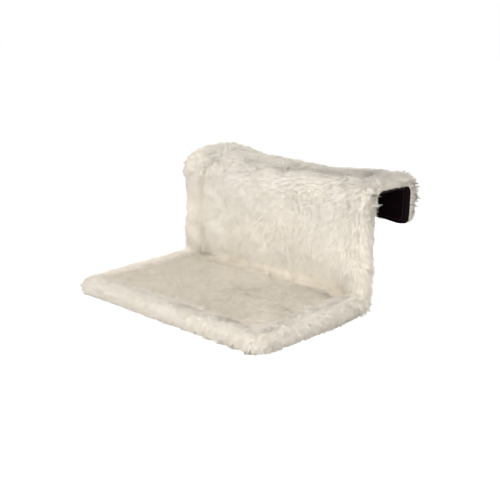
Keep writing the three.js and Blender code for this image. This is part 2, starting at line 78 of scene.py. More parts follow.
MM = 0.001
QUARTER = math.pi / 2
WHITE = (1.0, 1.0, 1.0)
DOWN = np.array((0.0, 0.0, -1.0))


def low(node, axis):
    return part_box(node)[0][axis]


def high(node, axis):
    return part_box(node)[1][axis]


def middle(node, axis):
    return (low(node, axis) + high(node, axis)) / 2


# Places read from the frame, in metres
HOOK_TUBE_RADIUS = 6.5 * MM
SEAT_TUBE_RADIUS = 7.5 * MM
TUBE_X = middle("upright_tube_right", 0)
LIFT = middle("seat_tube", 2)  # tube axis over the lining's outer face
BACK_Y = high("back_lining", 1) - LIFT
TOP_Z = high("hook_tube", 2) - HOOK_TUBE_RADIUS
LEG_Y = high("hook_tube", 1) - HOOK_TUBE_RADIUS
FRONT_Y = low("seat_plush", 1)
SIDE_X = high("seat_plush", 0)
SPLIT_Y = high("top_plush", 1)
ARM_Y = low("hook_guide_right", 1)

# Bends of the frame, to the tube axis, and the tighter one of the border roll at the seat's front corners
CORNER_BEND = 26 * MM
SHOULDER_BEND = 28 * MM
HOOK_BEND = 20 * MM
SEAT_BEND = 4 * MM


def millimetres(name, description, default):
    """A length that a user can change."""
    return FloatProperty(name=name, description=description, default=default * MM, min=0.0, unit="LENGTH")


def tint(name, description, default):
    """A colour that a user can change."""
    return FloatVectorProperty(
        name=name, description=description, default=default, size=3, min=0.0, max=1.0, subtype="COLOR"
    )


class CoverSizes(bpy.types.PropertyGroup):
    """Sizes of the cover and its pile"""

    roll_reach: millimetres("Roll reach", "Tube axis to the outer side of the border roll's cloth", 17)
    roll_inner: millimetres("Roll inner reach", "Tube axis to the valley beside the panel", 17)
    skin: millimetres("Cloth thickness", "Thickness of the plush cloth without its pile", 2.2)
    voxel: millimetres("Cover mesh size", "Edge of a face of the cover's cloth", 4)
    top_sag: millimetres("Top sag", "How far the top run dips between the side tubes", 11)
    roll_pile: millimetres("Roll pile", "Length of the pile on the border rolls", 17)
    panel_pile: millimetres("Panel pile", "Length of the pile on the back and the hook", 17)
    seat_pile: millimetres("Seat pile", "Length of the flattened pile on the seat panel", 14)
    hair: millimetres("Tuft width", "Width of a tuft of pile at its root", 0.8)
    guard_share: FloatProperty(
        name="Guard hairs", description="Share of longer, finer tufts", default=0.45, min=0, max=1
    )
    hairs: IntProperty(name="Tufts", description="Number of tufts of pile in all", default=170000, min=1000)


class CoverColours(bpy.types.PropertyGroup):
    """Colours of the cover, the lining and the hardware"""

    pile_tip: tint("Pile tip", "Tip of the cream pile", (0.88, 0.851, 0.795))
    pile_root: tint("Pile root", "Root of the cream pile", (0.83, 0.785, 0.71))
    # The lining's dark maroon, darkened further to near black: painted shade
    lining: tint("Lining", "Dark lining cloth", (0.002, 0.0005, 0.0009))
    thread: tint("Thread", "Thread of the lining's seam", (0.03, 0.014, 0.017))
    wadding: tint("Wadding", "Fibre of the pads", (0.86, 0.86, 0.83))
    tape: tint("Closure tape", "Closure tapes at the hem", (0.80, 0.75, 0.65))
    paint: tint("Tube paint", "Paint of the frame's tubes", (0.76, 0.76, 0.73))
    zinc: tint("Zinc", "Plated screws and nuts", (0.56, 0.57, 0.60))
    plastic: tint("Plastic", "Bushes, guides and knobs", (0.022, 0.022, 0.025))


# The cover's line in the side view, along the tube axis from the front edge to the hem: lengths and turns
RUNS = [
    (BACK_Y - CORNER_BEND - FRONT_Y, 0.0),
    (CORNER_BEND * QUARTER, QUARTER),
    (TOP_Z - LIFT - CORNER_BEND - SHOULDER_BEND, 0.0),
    (SHOULDER_BEND * QUARTER, -QUARTER),
    (LEG_Y - HOOK_BEND - BACK_Y - SHOULDER_BEND, 0.0),
    (HOOK_BEND * QUARTER, -QUARTER),
    (TOP_Z - HOOK_BEND - low("flap_lining", 2), 0.0),
]
RUN_STARTS = [sum(length for length, _ in RUNS[:i]) for i in range(len(RUNS) + 1)]
CORNER, BACK, SHOULDER, TOP, HOOK, LEG, LINING_HEM = RUN_STARTS[1:]
PLUSH_HEM = LINING_HEM - (low("flap_plush", 2) - low("flap_lining", 2))
AXIS_INSET = low("seat_tube", 1) + SEAT_TUBE_RADIUS - FRONT_Y  # front edge to the axis of the seat tube

# The lining: its edge inside the cover's outer edge, its corners, its folded edge and its place
LINING_INSET = SIDE_X - high("seat_lining", 0)
LINING_WIDER = 4.5 * MM  # the hook's roll is slimmer and shows more of the lining at its ends
LINING_CORNER = 18 * MM
HEM_CORNER = 9 * MM
EDGE_CURL = 7 * MM
CURL_WIDTH = 9 * MM
LINING_FOLD = 7 * MM
FOLD_STEP = 0.25 * MM
LINING_LIFT = 0.6 * MM
LINING_THICKNESS = 1.1 * MM
LINING_STEP = 3.5 * MM
HEM_WAVE = 3 * MM
HEM_DROOP, DROOP_LENGTH = 1.6 * MM, 19 * MM
TAPE_TOP = LEG + TOP_Z - HOOK_BEND - high("closure_tape_loop", 2)
TAPE_THICKNESS, TAPE_FACE = 0.6 * MM, 0.35 * MM
RIPPLE, RIPPLE_LENGTH = 0.15 * MM, 1.7 * MM
WRINKLE_EASE, FOLD_EASE, EDGE_EASE = 25 * MM, 1.2 * MM, 0.8 * MM
# Share, stretch, length and seed of the lining's wrinkles
WRINKLES = ((0.5, (1.0, 1.0, 1.0), 120 * MM, 31), (0.35, (2.2, 0.6, 1.0), 60 * MM, 32))
PAD_LUMPS = 45 * MM

# Stitches of the lining's seam
STITCH_PITCH, STITCH_LENGTH, THREAD_RADIUS, THREAD_DIP = 4 * MM, 2.9 * MM, 0.3 * MM, 0.12 * MM
SEAM_INSET = LINING_FOLD - 1 * MM


def side_line(distance):
    """Place (y, z) of the tube axis and the line's heading, for distances along the cover's line."""
    distance = np.asarray(distance, float)
    y = np.full(distance.shape, FRONT_Y)
    z = np.full(distance.shape, LIFT)
    heading = 0.0
    for i, (length, turn) in enumerate(RUNS):
        run = distance - RUN_STARTS[i]
        run = np.minimum(run, length) if i + 1 < len(RUNS) else run
        run = np.maximum(run, 0) if i > 0 else run
        if turn == 0.0:
            y = y + math.cos(heading) * run
            z = z + math.sin(heading) * run
        else:
            radius = length / turn
            ahead = heading + run / radius
            y = y + radius * (np.sin(ahead) - math.sin(heading))
            z = z - radius * (np.cos(ahead) - math.cos(heading))
        heading += turn
    turned = np.zeros(distance.shape)
    for i, (length, turn) in enumerate(RUNS):
        turned = turned + turn * np.clip((distance - RUN_STARTS[i]) / length, 0, 1)
    return y, z, turned


def placed(along, across, height):
    """Points from distance along the cover, place across it, and height over the lining's outer face."""
    y, z, heading = side_line(along)
    above = np.asarray(height) - LIFT
    across = np.broadcast_to(across, y.shape)
    return np.stack([across, y - above * np.sin(heading), z + above * np.cos(heading)], -1)


def unrolled(points):
    """Distance along the cover and height over the lining's outer face, for points of the row frame."""
    beyond, step, batch = 40 * MM, 1.5 * MM, 20000
    line = np.arange(-beyond, LINING_HEM + beyond, step)
    y, z, heading = side_line(line)
    along = np.empty(len(points))
    height = np.empty(len(points))
    for start in range(0, len(points), batch):
        part = points[start : start + batch]
        gap = (part[:, 1:2] - y) ** 2 + (part[:, 2:3] - z) ** 2
        near = gap.argmin(1)
        dy, dz = part[:, 1] - y[near], part[:, 2] - z[near]
        along[start : start + batch] = line[near] + dy * np.cos(heading[near]) + dz * np.sin(heading[near])
        height[start : start + batch] = LIFT - dy * np.sin(heading[near]) + dz * np.cos(heading[near])
    return along, height


def upward(heading):
    """Ways out of the lining, towards the plush."""
    return np.stack([np.zeros(len(heading)), -np.sin(heading), np.cos(heading)], 1)


def smooth_between(places, distance):
    """A value that eases between given places along the cover's line."""
    value = np.full(np.shape(distance), places[0][1], float)
    for (s0, v0), (s1, v1) in zip(places, places[1:]):
        share = np.clip((distance - s0) / max(s1 - s0, 1e-9), 0, 1)
        value = value + (v1 - v0) * share * share * (3 - 2 * share)
    return value


def profile_of(front, seat, back, top, flap):
    """Heights in millimetres of the seat's front and rear, the back, the top and the flap, along the line."""
    split = TOP + SPLIT_Y - (BACK_Y + SHOULDER_BEND)
    front_end, seat_end, back_foot, swell, shrink, flap_start = (v * MM for v in (40, 20, 10, 60, 40, 10))
    places = (front_end, CORNER - seat_end, BACK - back_foot, BACK + swell)
    places += (SHOULDER, TOP, split - shrink, split + flap_start)
    return [(place, v * MM) for place, v in zip(places, (front, seat, seat, back, back, top, top, flap))]


# Heights of the cloth over the lining's outer face. The pile stands on it, up to the CAD solids' faces.
ROLL_CLOTH = profile_of(26.5, 30.5, 34, 22, 18)
PANEL_CLOTH = profile_of(22.5, 23, 31, 22, 17.5)
VALLEY_CLOTH = profile_of(22, 22, 32.5, 21, 16.5)
SEAT_TOP = smooth_between(PANEL_CLOTH, CORNER)
CLOTH_FOOT = 2.6 * MM

# The cover's form: each table gives places along the line and the value there
REACH_CHANGE = [(CORNER - 40 * MM, 0.0), (BACK, -0.5 * MM), (TOP, -1.5 * MM), (HOOK, -4 * MM)]
LOW_ROUND = [  # the roll's edge towards the lining
    (CORNER - 90 * MM, 2.5 * MM), (CORNER, 18 * MM), (BACK, 15 * MM), (TOP, 10 * MM), (LEG, 7 * MM)
]
SLIP = [  # the cover sits to the left
    (CORNER, 0.0), (BACK + 20 * MM, -2.5 * MM), (SHOULDER, -2.5 * MM), (HOOK, 0.0)
]
SAG = [(SHOULDER - 50 * MM, 0), (TOP, 1), (HOOK, 1), (LEG + 10 * MM, 0)]
SEAM_DEPTH = [(BACK, 0.0), (BACK + 40 * MM, 4.5 * MM), (SHOULDER, 4.5 * MM), (TOP, 0.0)]
SEAM_X, SEAM_WIDTH = -(TUBE_X - 34 * MM), 7 * MM
ROLL_HALF = 17 * MM  # tube axis to the valley that parts the pieces of pile and is held as the cloth settles
ROLL_STEP, PANEL_STEP, PANEL_LAP, PANEL_RISE = 6 * MM, 5 * MM, 9 * MM, 26 * MM
PANEL_FILL, ROLL_FILL, FILL_SUNK, FILL_DEPTH = 36 * MM, 12 * MM, 0.5 * MM, 4 * MM  # the wedge in the crease
FOLD_Y = BACK_Y + LIFT - SEAT_TOP - PANEL_FILL
PUFF_ALONG, PUFF_X = BACK + 24 * MM, -(TUBE_X - 22 * MM)  # a soft bulge low down beside the left roll
PUFF_RISE, PUFF_REACH = 9 * MM, 15 * MM
LUMPS = ((1.4 * MM, 90 * MM, 3), (0.8 * MM, 34 * MM, 4))  # rise, length and seed of the cloth's unevenness
LUMP_START, LUMP_EASE = 2 * MM, 8 * MM
UNDER_INSET, UNDER_FRONT, UNDER_RISE = 15 * MM, 15 * MM, 3 * MM

# The settling of the stuffed cloth
SETTLE_FRAMES = 20
MOST_SETTLED = 4 * MM
SEAM_HOLD, CREASE_HOLD, FOOT_HOLD = 7 * MM, 16 * MM, 4 * MM

# The pile
PILE_SEED = 11
LENGTH_SPREAD, WIDTH_SPREAD, GUARD_LONGER = (0.75, 1.15), (0.7, 1.3), 1.25
LEAN, LEAN_SPREAD, LEAN_LIMITS = 1.05, 0.14, (0.2, 1.4)  # from upright, in radians
TUFTS_IN_CLUMP, CLUMP_PULL = 6, (0.3, 0.75)
SPIKE_POINTS = 7
BARE_BELOW = 1.5 * MM
ROLL_EASE = 12 * MM
STAND_PROUD = np.array((21, 20, 15)) * MM  # how far the pile may stand out of the frame's box
PROUD_EASE = 6 * MM
ROOT_DEPTH = 0.8 * MM
OFF_LINING, OFF_FLOOR = 2.4 * MM, 0.4 * MM
LINING_EASE = 15 * MM
FRONT_PART = 55 * MM  # length of the cover, from the axis of the seat tube, whose pile goes by the name front
WISP_SHARE, WISP_REACH, WISP_LENGTH, WISP_PULL = 0.045, 3.2 * MM, (0.95, 1.4), (0.6, 0.95)
SEAT_ROLL_SHARE = 0.75  # the seat's border roll is worn shorter
ON_ROLLS = [(CORNER - 30 * MM, SEAT_ROLL_SHARE), (CORNER + 10 * MM, 1.0)]
HOOKED = [(SHOULDER - 45 * MM, 0), (SHOULDER + 5 * MM, 1)]
BENT = [
    (SHOULDER - 10 * MM, 0), (SHOULDER + 15 * MM, 1), (TOP, 0), (HOOK, 1), (LEG, 1), (LEG + 20 * MM, 0.3)
]
SHORT_BY_LINING = [(CORNER, 0), (BACK, 0.8), (SHOULDER - 30 * MM, 1)]
CREASED = [(CORNER - 12 * MM, 1), (CORNER + 10 * MM, 0.9), (BACK, 0.9), (BACK + 20 * MM, 1)]
STREAKED = [(CORNER, 0), (BACK, 1), (SHOULDER, 1), (TOP, 0)]
SWIRL_WAVES = ((0.6, 110 * MM, 21), (0.4, 32 * MM, 22))  # share, length and seed
STREAK_LENGTH = 12 * MM
SPREAD_EASE = 60 * MM

# Camera, lamps and floor of the stage: places and sizes in metres, power in watts
CAMERA_TURN, CAMERA_RISE, CAMERA_ROLL = (math.radians(angle) for angle in (42.6, 15.35, 1.25))
CAMERA_TARGET, CAMERA_DISTANCE = Vector((0.0592, -0.0535, 0.1096)), 1.70
LENS, SENSOR, NEAREST, FARTHEST = 69.6, 36.0, 0.05, 50.0
LAMPS = (
    ("key_lamp", (0.65, -2.6, 1.35), 1.6, 54.0),
    ("right_lamp", (2.2, -1.3, 1.3), 1.4, 32.0),
    ("top_lamp", (0.8, -0.9, 2.4), 1.8, 33.0),
    ("left_lamp", (-1.6, -1.5, 1.6), 1.4, 14.0),
    ("back_lamp", (-1.0, 2.7, 1.2), 1.6, 9.0),
)
LAMP_AIM = Vector((0.0, 0.0, 0.1))
FLOOR_HALF, FLOOR_DROP = 6.0, 0.5 * MM


def waves(points, length, seed, count=18):
    """Smooth noise of about -1 to 1 with the given wave length, as a sum of plane waves."""
    rng = np.random.default_rng(seed)
    ways = rng.normal(size=(count, 3))
    ways /= np.linalg.norm(ways, axis=1)[:, None]
    rates = 2 * math.pi / (length * rng.uniform(0.7, 1.5, count))
    phases = rng.uniform(0, 2 * math.pi, count)
    total = np.zeros(len(points))
    for way, rate, phase in zip(ways, rates, phases):
        total += np.sin(points @ way * rate + phase)
    return total / math.sqrt(count / 2) * 0.6


def linked(name, data):
    """A new object in the scene."""
    made = bpy.data.objects.new(name, data)
    bpy.context.scene.collection.objects.link(made)
    return made


def mesh_object(name, points, faces, smooth=True):
    """A new object in the scene from points and faces."""
    mesh = bpy.data.meshes.new(name)
    mesh.from_pydata([tuple(p) for p in np.asarray(points).tolist()], [], faces)
    mesh.update()
    mesh.validate()
    if smooth:
        mesh.shade_smooth()
    return linked(name, mesh)


def points_of(mesh):
    found = np.empty(len(mesh.vertices) * 3)
    mesh.vertices.foreach_get("co", found)
    return found.reshape(-1, 3)


def set_points(mesh, points):
    mesh.vertices.foreach_set("co", np.asarray(points, float).ravel())
    mesh.update()


def normals_of(mesh):
    found = np.empty(len(mesh.vertices) * 3, np.float32)
    mesh.vertex_normals.foreach_get("vector", found)
    return found.reshape(-1, 3).astype(float)


def with_modifiers(made):
    """Applies the object's modifiers to its mesh."""
    graph = bpy.context.evaluated_depsgraph_get()
    new = bpy.data.meshes.new_from_object(made.evaluated_get(graph))
    old = made.data
    made.modifiers.clear()
    made.data = new
    new.name = old.name
    bpy.data.meshes.remove(old)


def smoothed(made):
    """Adds a light smoothing and applies the object's modifiers."""
    soften = made.modifiers.new("soften", "SMOOTH")
    soften.factor, soften.iterations = 0.5, 3
    with_modifiers(made)


def thickened(made, thickness, offset=-1.0):
    """Gives a sheet its thickness."""
    thicken = made.modifiers.new("thicken", "SOLIDIFY")
    thicken.thickness, thicken.offset = thickness, offset
    with_modifiers(made)
    made.data.shade_smooth()


def grid_faces(rows, columns):
    """Faces of a grid of points, row by row."""
    corners = ((0, 0), (0, 1), (1, 1), (1, 0))
    return [
        tuple((i + down) * columns + j + right for down, right in corners)
        for i in range(rows - 1)
        for j in range(columns - 1)
    ]


def swept_faces(stations, count):
    """Faces of a closed section of count points carried along stations, with closed ends."""
    faces = []
    for i in range(stations - 1):
        for j in range(count):
            a, b = i * count + j, i * count + (j + 1) % count
            faces.append((a, b, b + count, a + count))
    faces.append(tuple(range(count))[::-1])
    faces.append(tuple(range((stations - 1) * count, stations * count)))
    return faces


def border_path():
    """The border roll's line round the seat: distance along, place across, and the outward way."""
    run = np.arange(PLUSH_HEM, AXIS_INSET + SEAT_BEND, -ROLL_STEP)
    turn = np.linspace(0, QUARTER, 9)[1:-1]
    front = np.arange(-TUBE_X + SEAT_BEND, TUBE_X - SEAT_BEND, ROLL_STEP)
    corner_s, corner_x = AXIS_INSET + SEAT_BEND, TUBE_X - SEAT_BEND
    along = [run, corner_s - SEAT_BEND * np.sin(turn), np.full(front.shape, AXIS_INSET)]
    across = [np.full(run.shape, -TUBE_X), -corner_x - SEAT_BEND * np.cos(turn), front]
    way_s = [np.zeros(run.shape), -np.sin(turn), np.full(front.shape, -1.0)]
    way_x = [np.full(run.shape, -1.0), -np.cos(turn), np.zeros(front.shape)]
    along += [along[1][::-1], run[::-1]]
    across += [-across[1][::-1], -across[0]]
    way_s += [way_s[1][::-1], way_s[0]]
    way_x += [-way_x[1][::-1], -way_x[0]]
    return [np.concatenate(part) for part in (along, across, way_s, way_x)]


def roll_section(crest, valley, reach, inner, round_low):
    """Closed section of the border roll's cloth: out from the tube axis, and height."""
    turn = np.linspace(0, math.pi, 15)
    foot = np.where(turn < QUARTER, crest * 0.45, valley)
    side = np.where(turn < QUARTER, reach, inner)
    upper = np.stack([side * np.cos(turn), foot + (crest - foot) * np.sin(turn)], 1)
    under = np.linspace(-QUARTER, 0, 7)[:-1]
    full_foot = 8 * MM
    foot = CLOTH_FOOT * min(1, round_low / full_foot)
    out = reach - round_low + round_low * np.cos(under)
    lower = np.stack([out, foot + round_low * (1 + np.sin(under))], 1)
    return np.concatenate([[[-inner, CLOTH_FOOT]], lower, upper])


def roll_rows(sizes):
    """Sections of the border roll, down one side, round the front and up the other side."""
    along, across, way_s, way_x = border_path()
    crests, valleys = smooth_between(ROLL_CLOTH, along), smooth_between(VALLEY_CLOTH, along)
    rounds, slips = smooth_between(LOW_ROUND, along), smooth_between(SLIP, along)
    reaches = sizes.roll_reach + smooth_between(REACH_CHANGE, along)
    rows = []
    for i in range(len(along)):
        section = roll_section(crests[i], valleys[i], reaches[i], sizes.roll_inner, rounds[i])
        x = across[i] + section[:, 0] * way_x[i] + slips[i]
        rows.append(placed(along[i] + section[:, 0] * way_s[i], x, section[:, 1]))
    return rows


def panel_rows(sizes):
    """Sections of the panel, from the seat's front to the hem, with the top's sag, the seam and the puff."""
    half = TUBE_X - sizes.roll_inner
    start = AXIS_INSET + sizes.roll_inner - PANEL_LAP
    across = np.linspace(-1, 1, 61) * (half + PANEL_LAP)
    side = np.abs(across) / half
    rows = []
    for s in np.concatenate([np.arange(start, PLUSH_HEM, PANEL_STEP), [PLUSH_HEM]]):
        valley = smooth_between(VALLEY_CLOTH, s)
        rise = 1 - (1 - np.clip((s - start - PANEL_LAP) / PANEL_RISE, 0, 1)) ** 3
        crown = (smooth_between(PANEL_CLOTH, s) - valley) * rise
        lifted = valley + crown * (1 - np.clip(side, 0, 1) ** 8)
        lifted = lifted - sizes.top_sag * smooth_between(SAG, s) * (1 - side**2.2).clip(0, 1)
        lifted = lifted - smooth_between(SEAM_DEPTH, s) * np.exp(-(((across - SEAM_X) / SEAM_WIDTH) ** 2))
        from_puff = (across - PUFF_X) ** 2 + (s - PUFF_ALONG) ** 2
        lifted = lifted + PUFF_RISE * np.exp(-from_puff / PUFF_REACH**2)
        x = np.concatenate([across, across[::-1]]) + smooth_between(SLIP, s)
        height = np.concatenate([lifted, np.full(across.shape, CLOTH_FOOT)])
        rows.append(placed(np.full(len(x), s), x, height))
    return rows


def corner_rows(sizes):
    """Sections of a wedge along the crease: the stretched cloth spans the corner in a soft curve."""
    half = TUBE_X - sizes.roll_inner
    over_roll = half + sizes.roll_inner * np.linspace(0.15, 1.7, 9)
    across = np.sort(np.concatenate([np.linspace(-1, 1, 41) * half, over_roll, -over_roll]))
    side = np.clip(np.abs(across) / half, 0, 1)
    cloths = (VALLEY_CLOTH, PANEL_CLOTH, ROLL_CLOTH)
    valley, crown, crest = (smooth_between(cloth, CORNER) for cloth in cloths)
    out = np.clip((np.abs(across) - TUBE_X) / sizes.roll_reach, -1, 1)
    panel = valley + (crown - valley) * (1 - side**8)
    roll = valley + (crest - valley) * np.sqrt(1 - out**2)
    height = np.where(np.abs(across) < half, panel, roll) - FILL_SUNK
    radius = ROLL_FILL + (PANEL_FILL - ROLL_FILL) * (1 - side**6)
    turn = np.linspace(-QUARTER, 0, 13)
    rows = []
    for x, h, r in zip(across, height, radius):
        back = BACK_Y + LIFT - h
        y = np.concatenate([back - r + r * np.cos(turn), [back + FILL_DEPTH, back + FILL_DEPTH, back - r]])
        z = np.concatenate([h + r + r * np.sin(turn), [h + r, h - FILL_DEPTH, h - FILL_DEPTH]])
        rows.append(np.stack([np.full(y.shape, x), y, z], 1))
    return rows


def cover_form(sizes):
    """Closed form that the cover's cloth lies on, as one mesh of three shells."""
    points, faces = np.empty((0, 3)), []
    for rows, way in ((roll_rows(sizes), 1), (panel_rows(sizes), -1), (corner_rows(sizes), -1)):
        shell = swept_faces(len(rows), len(rows[0]))
        faces += [tuple(len(points) + v for v in face)[::way] for face in shell]
        points = np.concatenate([points, *rows])
    return points, faces


# Materials

# Unevenness of the pile's colour: scale and detail of a noise, its range, and the tints at the range's ends
PILE_CLOUDS = (
    (22, 3.0, (0.35, 0.65), (0.98, 0.97, 0.95), WHITE),
    (60, 2.0, (0.4, 0.7), WHITE, (0.955, 0.94, 0.915)),
)
STRAND_SHADE = (0.90, 0.87, 0.82)

# Areas of the cover as ramps that are multiplied: an axis, two places on it and the share of the tone at each
SEAT_AREA = (
    ("Z", 30 * MM, 70 * MM, 1.0, 0.0),
    ("side", TUBE_X - 24 * MM, TUBE_X, 1.0, 0.0),
    ("Y", FRONT_Y + 18 * MM, FRONT_Y + 45 * MM, 0.0, 1.0),
)
SEAM_YELLOW_AND_SHADE_REACH = 12 * MM
# Painted light and painted shade on areas of the cover, and the seam's yellowing: a tint and the ramps of its
# area
PAINTED_LIGHT_AND_STAIN_AREAS = (
    (  # the back's foot catches light from the seat
        (1.13, 1.13, 1.125),
        ("Z", SEAT_TOP + 11 * MM, SEAT_TOP + 19 * MM, 0.0, 1.0),
        ("Z", 130 * MM, 190 * MM, 1.0, 0.0),
        ("Y", FOLD_Y - 6 * MM, FOLD_Y + 2 * MM, 0.0, 1.0),
    ),
    (  # yellowed along the seam, with painted shade of its groove
        (0.96, 0.91, 0.80),
        ("seam", 0.1, 1.0, 0.6, 0.0),
        ("Z", 60 * MM, 100 * MM, 0.0, 1.0),
        ("Z", TOP_Z - 30 * MM, TOP_Z, 1.0, 0.0),
    ),
    (  # painted shade over the top, most on the right
        (0.79, 0.79, 0.80),
        ("Z", TOP_Z + 4 * MM, TOP_Z + 18 * MM, 0.0, 1.0),
        ("X", -160 * MM, 40 * MM, 0.25, 1.0),
    ),
    (  # painted shade on the front roll
        (0.895, 0.895, 0.89),
        ("Y", FRONT_Y + 8 * MM, FRONT_Y + 35 * MM, 1.0, 0.0),
        ("X", -200 * MM, 200 * MM, 1.0, 0.5),
    ),
    (  # painted shade in the crease between seat and back
        (0.85, 0.845, 0.825),
        ("Y", FOLD_Y - 8 * MM, FOLD_Y, 0.0, 1.0),
        ("Z", SEAT_TOP + 9 * MM, SEAT_TOP + 14 * MM, 1.0, 0.0),
        ("side", TUBE_X - 30 * MM, TUBE_X - 8 * MM, 1.0, 0.0),
    ),
    (  # painted shade on the flap's right end
        (0.91, 0.875, 0.875),
        ("Y", LEG_Y - 12 * MM, LEG_Y, 0.0, 1.0),
        ("X", TUBE_X - 16 * MM, TUBE_X, 0.0, 1.0),
    ),
)
# The seat's warmer tone, with painted shade towards its left front and painted light towards its right rear:
# the ramp's way and range, and its two tints
SEAT_LIGHT_WAY, SEAT_LIGHT_FROM_TO = (0.74, 0.68, 0.0), (-110 * MM, 70 * MM)  # the seat pales towards its right rear
SEAT_SHADE_TINT, SEAT_LIGHT_TINT = (0.875, 0.84, 0.78), (1.09, 1.055, 1.0)
STAIN_TINT, STAIN_FROM_TO = (0.95, 0.925, 0.84), (-20 * MM, 50 * MM)

# The lining's weave and the hook tape's rows, in waves for each metre, and the lining's sheen
WEAVE_SCALE, WEAVE_BEND, HOOK_ROW_SCALE = 330.0, 0.6, 260.0
SHEEN_TINT = (0.55, 0.1, 0.15, 1.0)


def node_material(name, **settings):
    """A new material with settings of its shader, its tree, the shader and the texture coordinates."""
    material = bpy.data.materials.new(name)
    material.use_nodes = True
    tree = material.node_tree
    shader = tree.nodes["Principled BSDF"]
    names = {"specular": "Specular IOR Level"}
    for label, value in settings.items():
        shader.inputs[names.get(label, label.replace("_", " ").title())].default_value = value
    return material, tree, shader, tree.nodes.new("ShaderNodeTexCoord").outputs["Object"]


def ranged(tree, value, places, values=(0.0, 1.0)):
    """The value carried from one range to another."""
    node = tree.nodes.new("ShaderNodeMapRange")
    for socket, number in zip(node.inputs[1:5], (*places, *values)):
        socket.default_value = number
    tree.links.new(value, node.inputs["Value"])
    return node.outputs["Result"]


def noise_node(tree, place, scale, detail, stretch=None):
    """Fac of a noise texture, with scale in waves for each metre."""
    noise = tree.nodes.new("ShaderNodeTexNoise")
    noise.inputs["Scale"].default_value = scale
    noise.inputs["Detail"].default_value = detail
    if stretch is not None:
        mapping = tree.nodes.new("ShaderNodeMapping")
        mapping.inputs["Scale"].default_value = stretch
        tree.links.new(place, mapping.inputs["Vector"])
        place = mapping.outputs["Vector"]
    tree.links.new(place, noise.inputs["Vector"])
    return noise.outputs["Fac"]


def wave_node(tree, place, direction, scale, distortion=0.0):
    """Fac of a wave texture in bands."""
    bands = tree.nodes.new("ShaderNodeTexWave")
    bands.bands_direction = direction
    bands.inputs["Scale"].default_value = scale
    bands.inputs["Distortion"].default_value = distortion
    tree.links.new(place, bands.inputs["Vector"])
    return bands.outputs["Fac"]


def maths(tree, operation, *values):
    """The output of a maths node."""
    node = tree.nodes.new("ShaderNodeMath")
    node.operation = operation
    for socket, value in zip(node.inputs, values):
        tree.links.new(value, socket)
    return node.outputs[0]


def mixed_colour(tree, share, first, second, blend="MIX"):
    """A mix of two colours, each a tuple or an output."""
    node = tree.nodes.new("ShaderNodeMix")
    node.data_type = "RGBA"
    node.blend_type = blend
    for socket, value in ((node.inputs["Factor"], share), (node.inputs[6], first), (node.inputs[7], second)):
        if isinstance(value, bpy.types.NodeSocket):
            tree.links.new(value, socket)
        elif isinstance(value, float):
            socket.default_value = value
        else:
            socket.default_value = (*value, 1.0)
    return node.outputs[2]


def multiplied(tree, colour, tone):
    return mixed_colour(tree, 1.0, colour, tone, "MULTIPLY")


def toned(tree, colour, share, tone):
    """The colour with a share of a tone."""
    return mixed_colour(tree, share, colour, multiplied(tree, colour, tone))


def bumped(tree, shader, height, depth, strength):
    """Sets the shader's normal from a height, with depth in metres."""
    bump = tree.nodes.new("ShaderNodeBump")
    bump.inputs["Strength"].default_value = strength
    bump.inputs["Distance"].default_value = depth
    tree.links.new(height, bump.inputs["Height"])
    tree.links.new(bump.outputs["Normal"], shader.inputs["Normal"])


def scaled(colour, by):
    return tuple(min(1.0, c * by) for c in colour)


def area_share(tree, axes, ramps):
    """The share of a tone at each place, as the product of an area's ramps."""
    shares = [ranged(tree, axes[axis], numbers[:2], numbers[2:]) for axis, *numbers in ramps]
    whole = shares[0]
    for share in shares[1:]:
        whole = maths(tree, "MULTIPLY", whole, share)
    return whole


def mottled(tree, place, colour):
    """Soft uneven colour of the pile: clouds, a warmer seat with painted shade at its left front and painted
    light at its right rear, stains at the seat's rear, a yellowed seam, and areas of painted light and
    painted shade.
    """
    for scale, detail, places, first, second in PILE_CLOUDS:
        clouds = ranged(tree, noise_node(tree, place, scale, detail), places)
        colour = multiplied(tree, colour, mixed_colour(tree, clouds, first, second))
    split = tree.nodes.new("ShaderNodeSeparateXYZ")
    tree.links.new(place, split.inputs["Vector"])
    axes = {axis: split.outputs[axis] for axis in "XYZ"}
    axes["side"] = maths(tree, "ABSOLUTE", axes["X"])
    from_seam = ranged(tree, axes["X"], (SEAM_X - SEAM_YELLOW_AND_SHADE_REACH, SEAM_X + SEAM_YELLOW_AND_SHADE_REACH), (-1.0, 1.0))
    axes["seam"] = maths(tree, "ABSOLUTE", from_seam)
    seat = area_share(tree, axes, SEAT_AREA)
    towards = tree.nodes.new("ShaderNodeVectorMath")
    towards.operation = "DOT_PRODUCT"
    towards.inputs[1].default_value = SEAT_LIGHT_WAY
    tree.links.new(place, towards.inputs[0])
    tone = mixed_colour(tree, ranged(tree, towards.outputs["Value"], SEAT_LIGHT_FROM_TO), SEAT_SHADE_TINT, SEAT_LIGHT_TINT)
    colour = toned(tree, colour, maths(tree, "MULTIPLY", seat, seat), tone)
    for tone, *ramps in PAINTED_LIGHT_AND_STAIN_AREAS:
        colour = toned(tree, colour, area_share(tree, axes, ramps), tone)
    rear = maths(tree, "MULTIPLY", ranged(tree, axes["Y"], STAIN_FROM_TO), seat)
    stains = ranged(tree, noise_node(tree, place, 15, 1.0), (0.52, 0.66), (0.0, 0.3))
    return toned(tree, colour, maths(tree, "MULTIPLY", rear, stains), STAIN_TINT)


def attribute(tree, name):
    node = tree.nodes.new("ShaderNodeAttribute")
    node.attribute_name = name
    return node.outputs["Fac"]


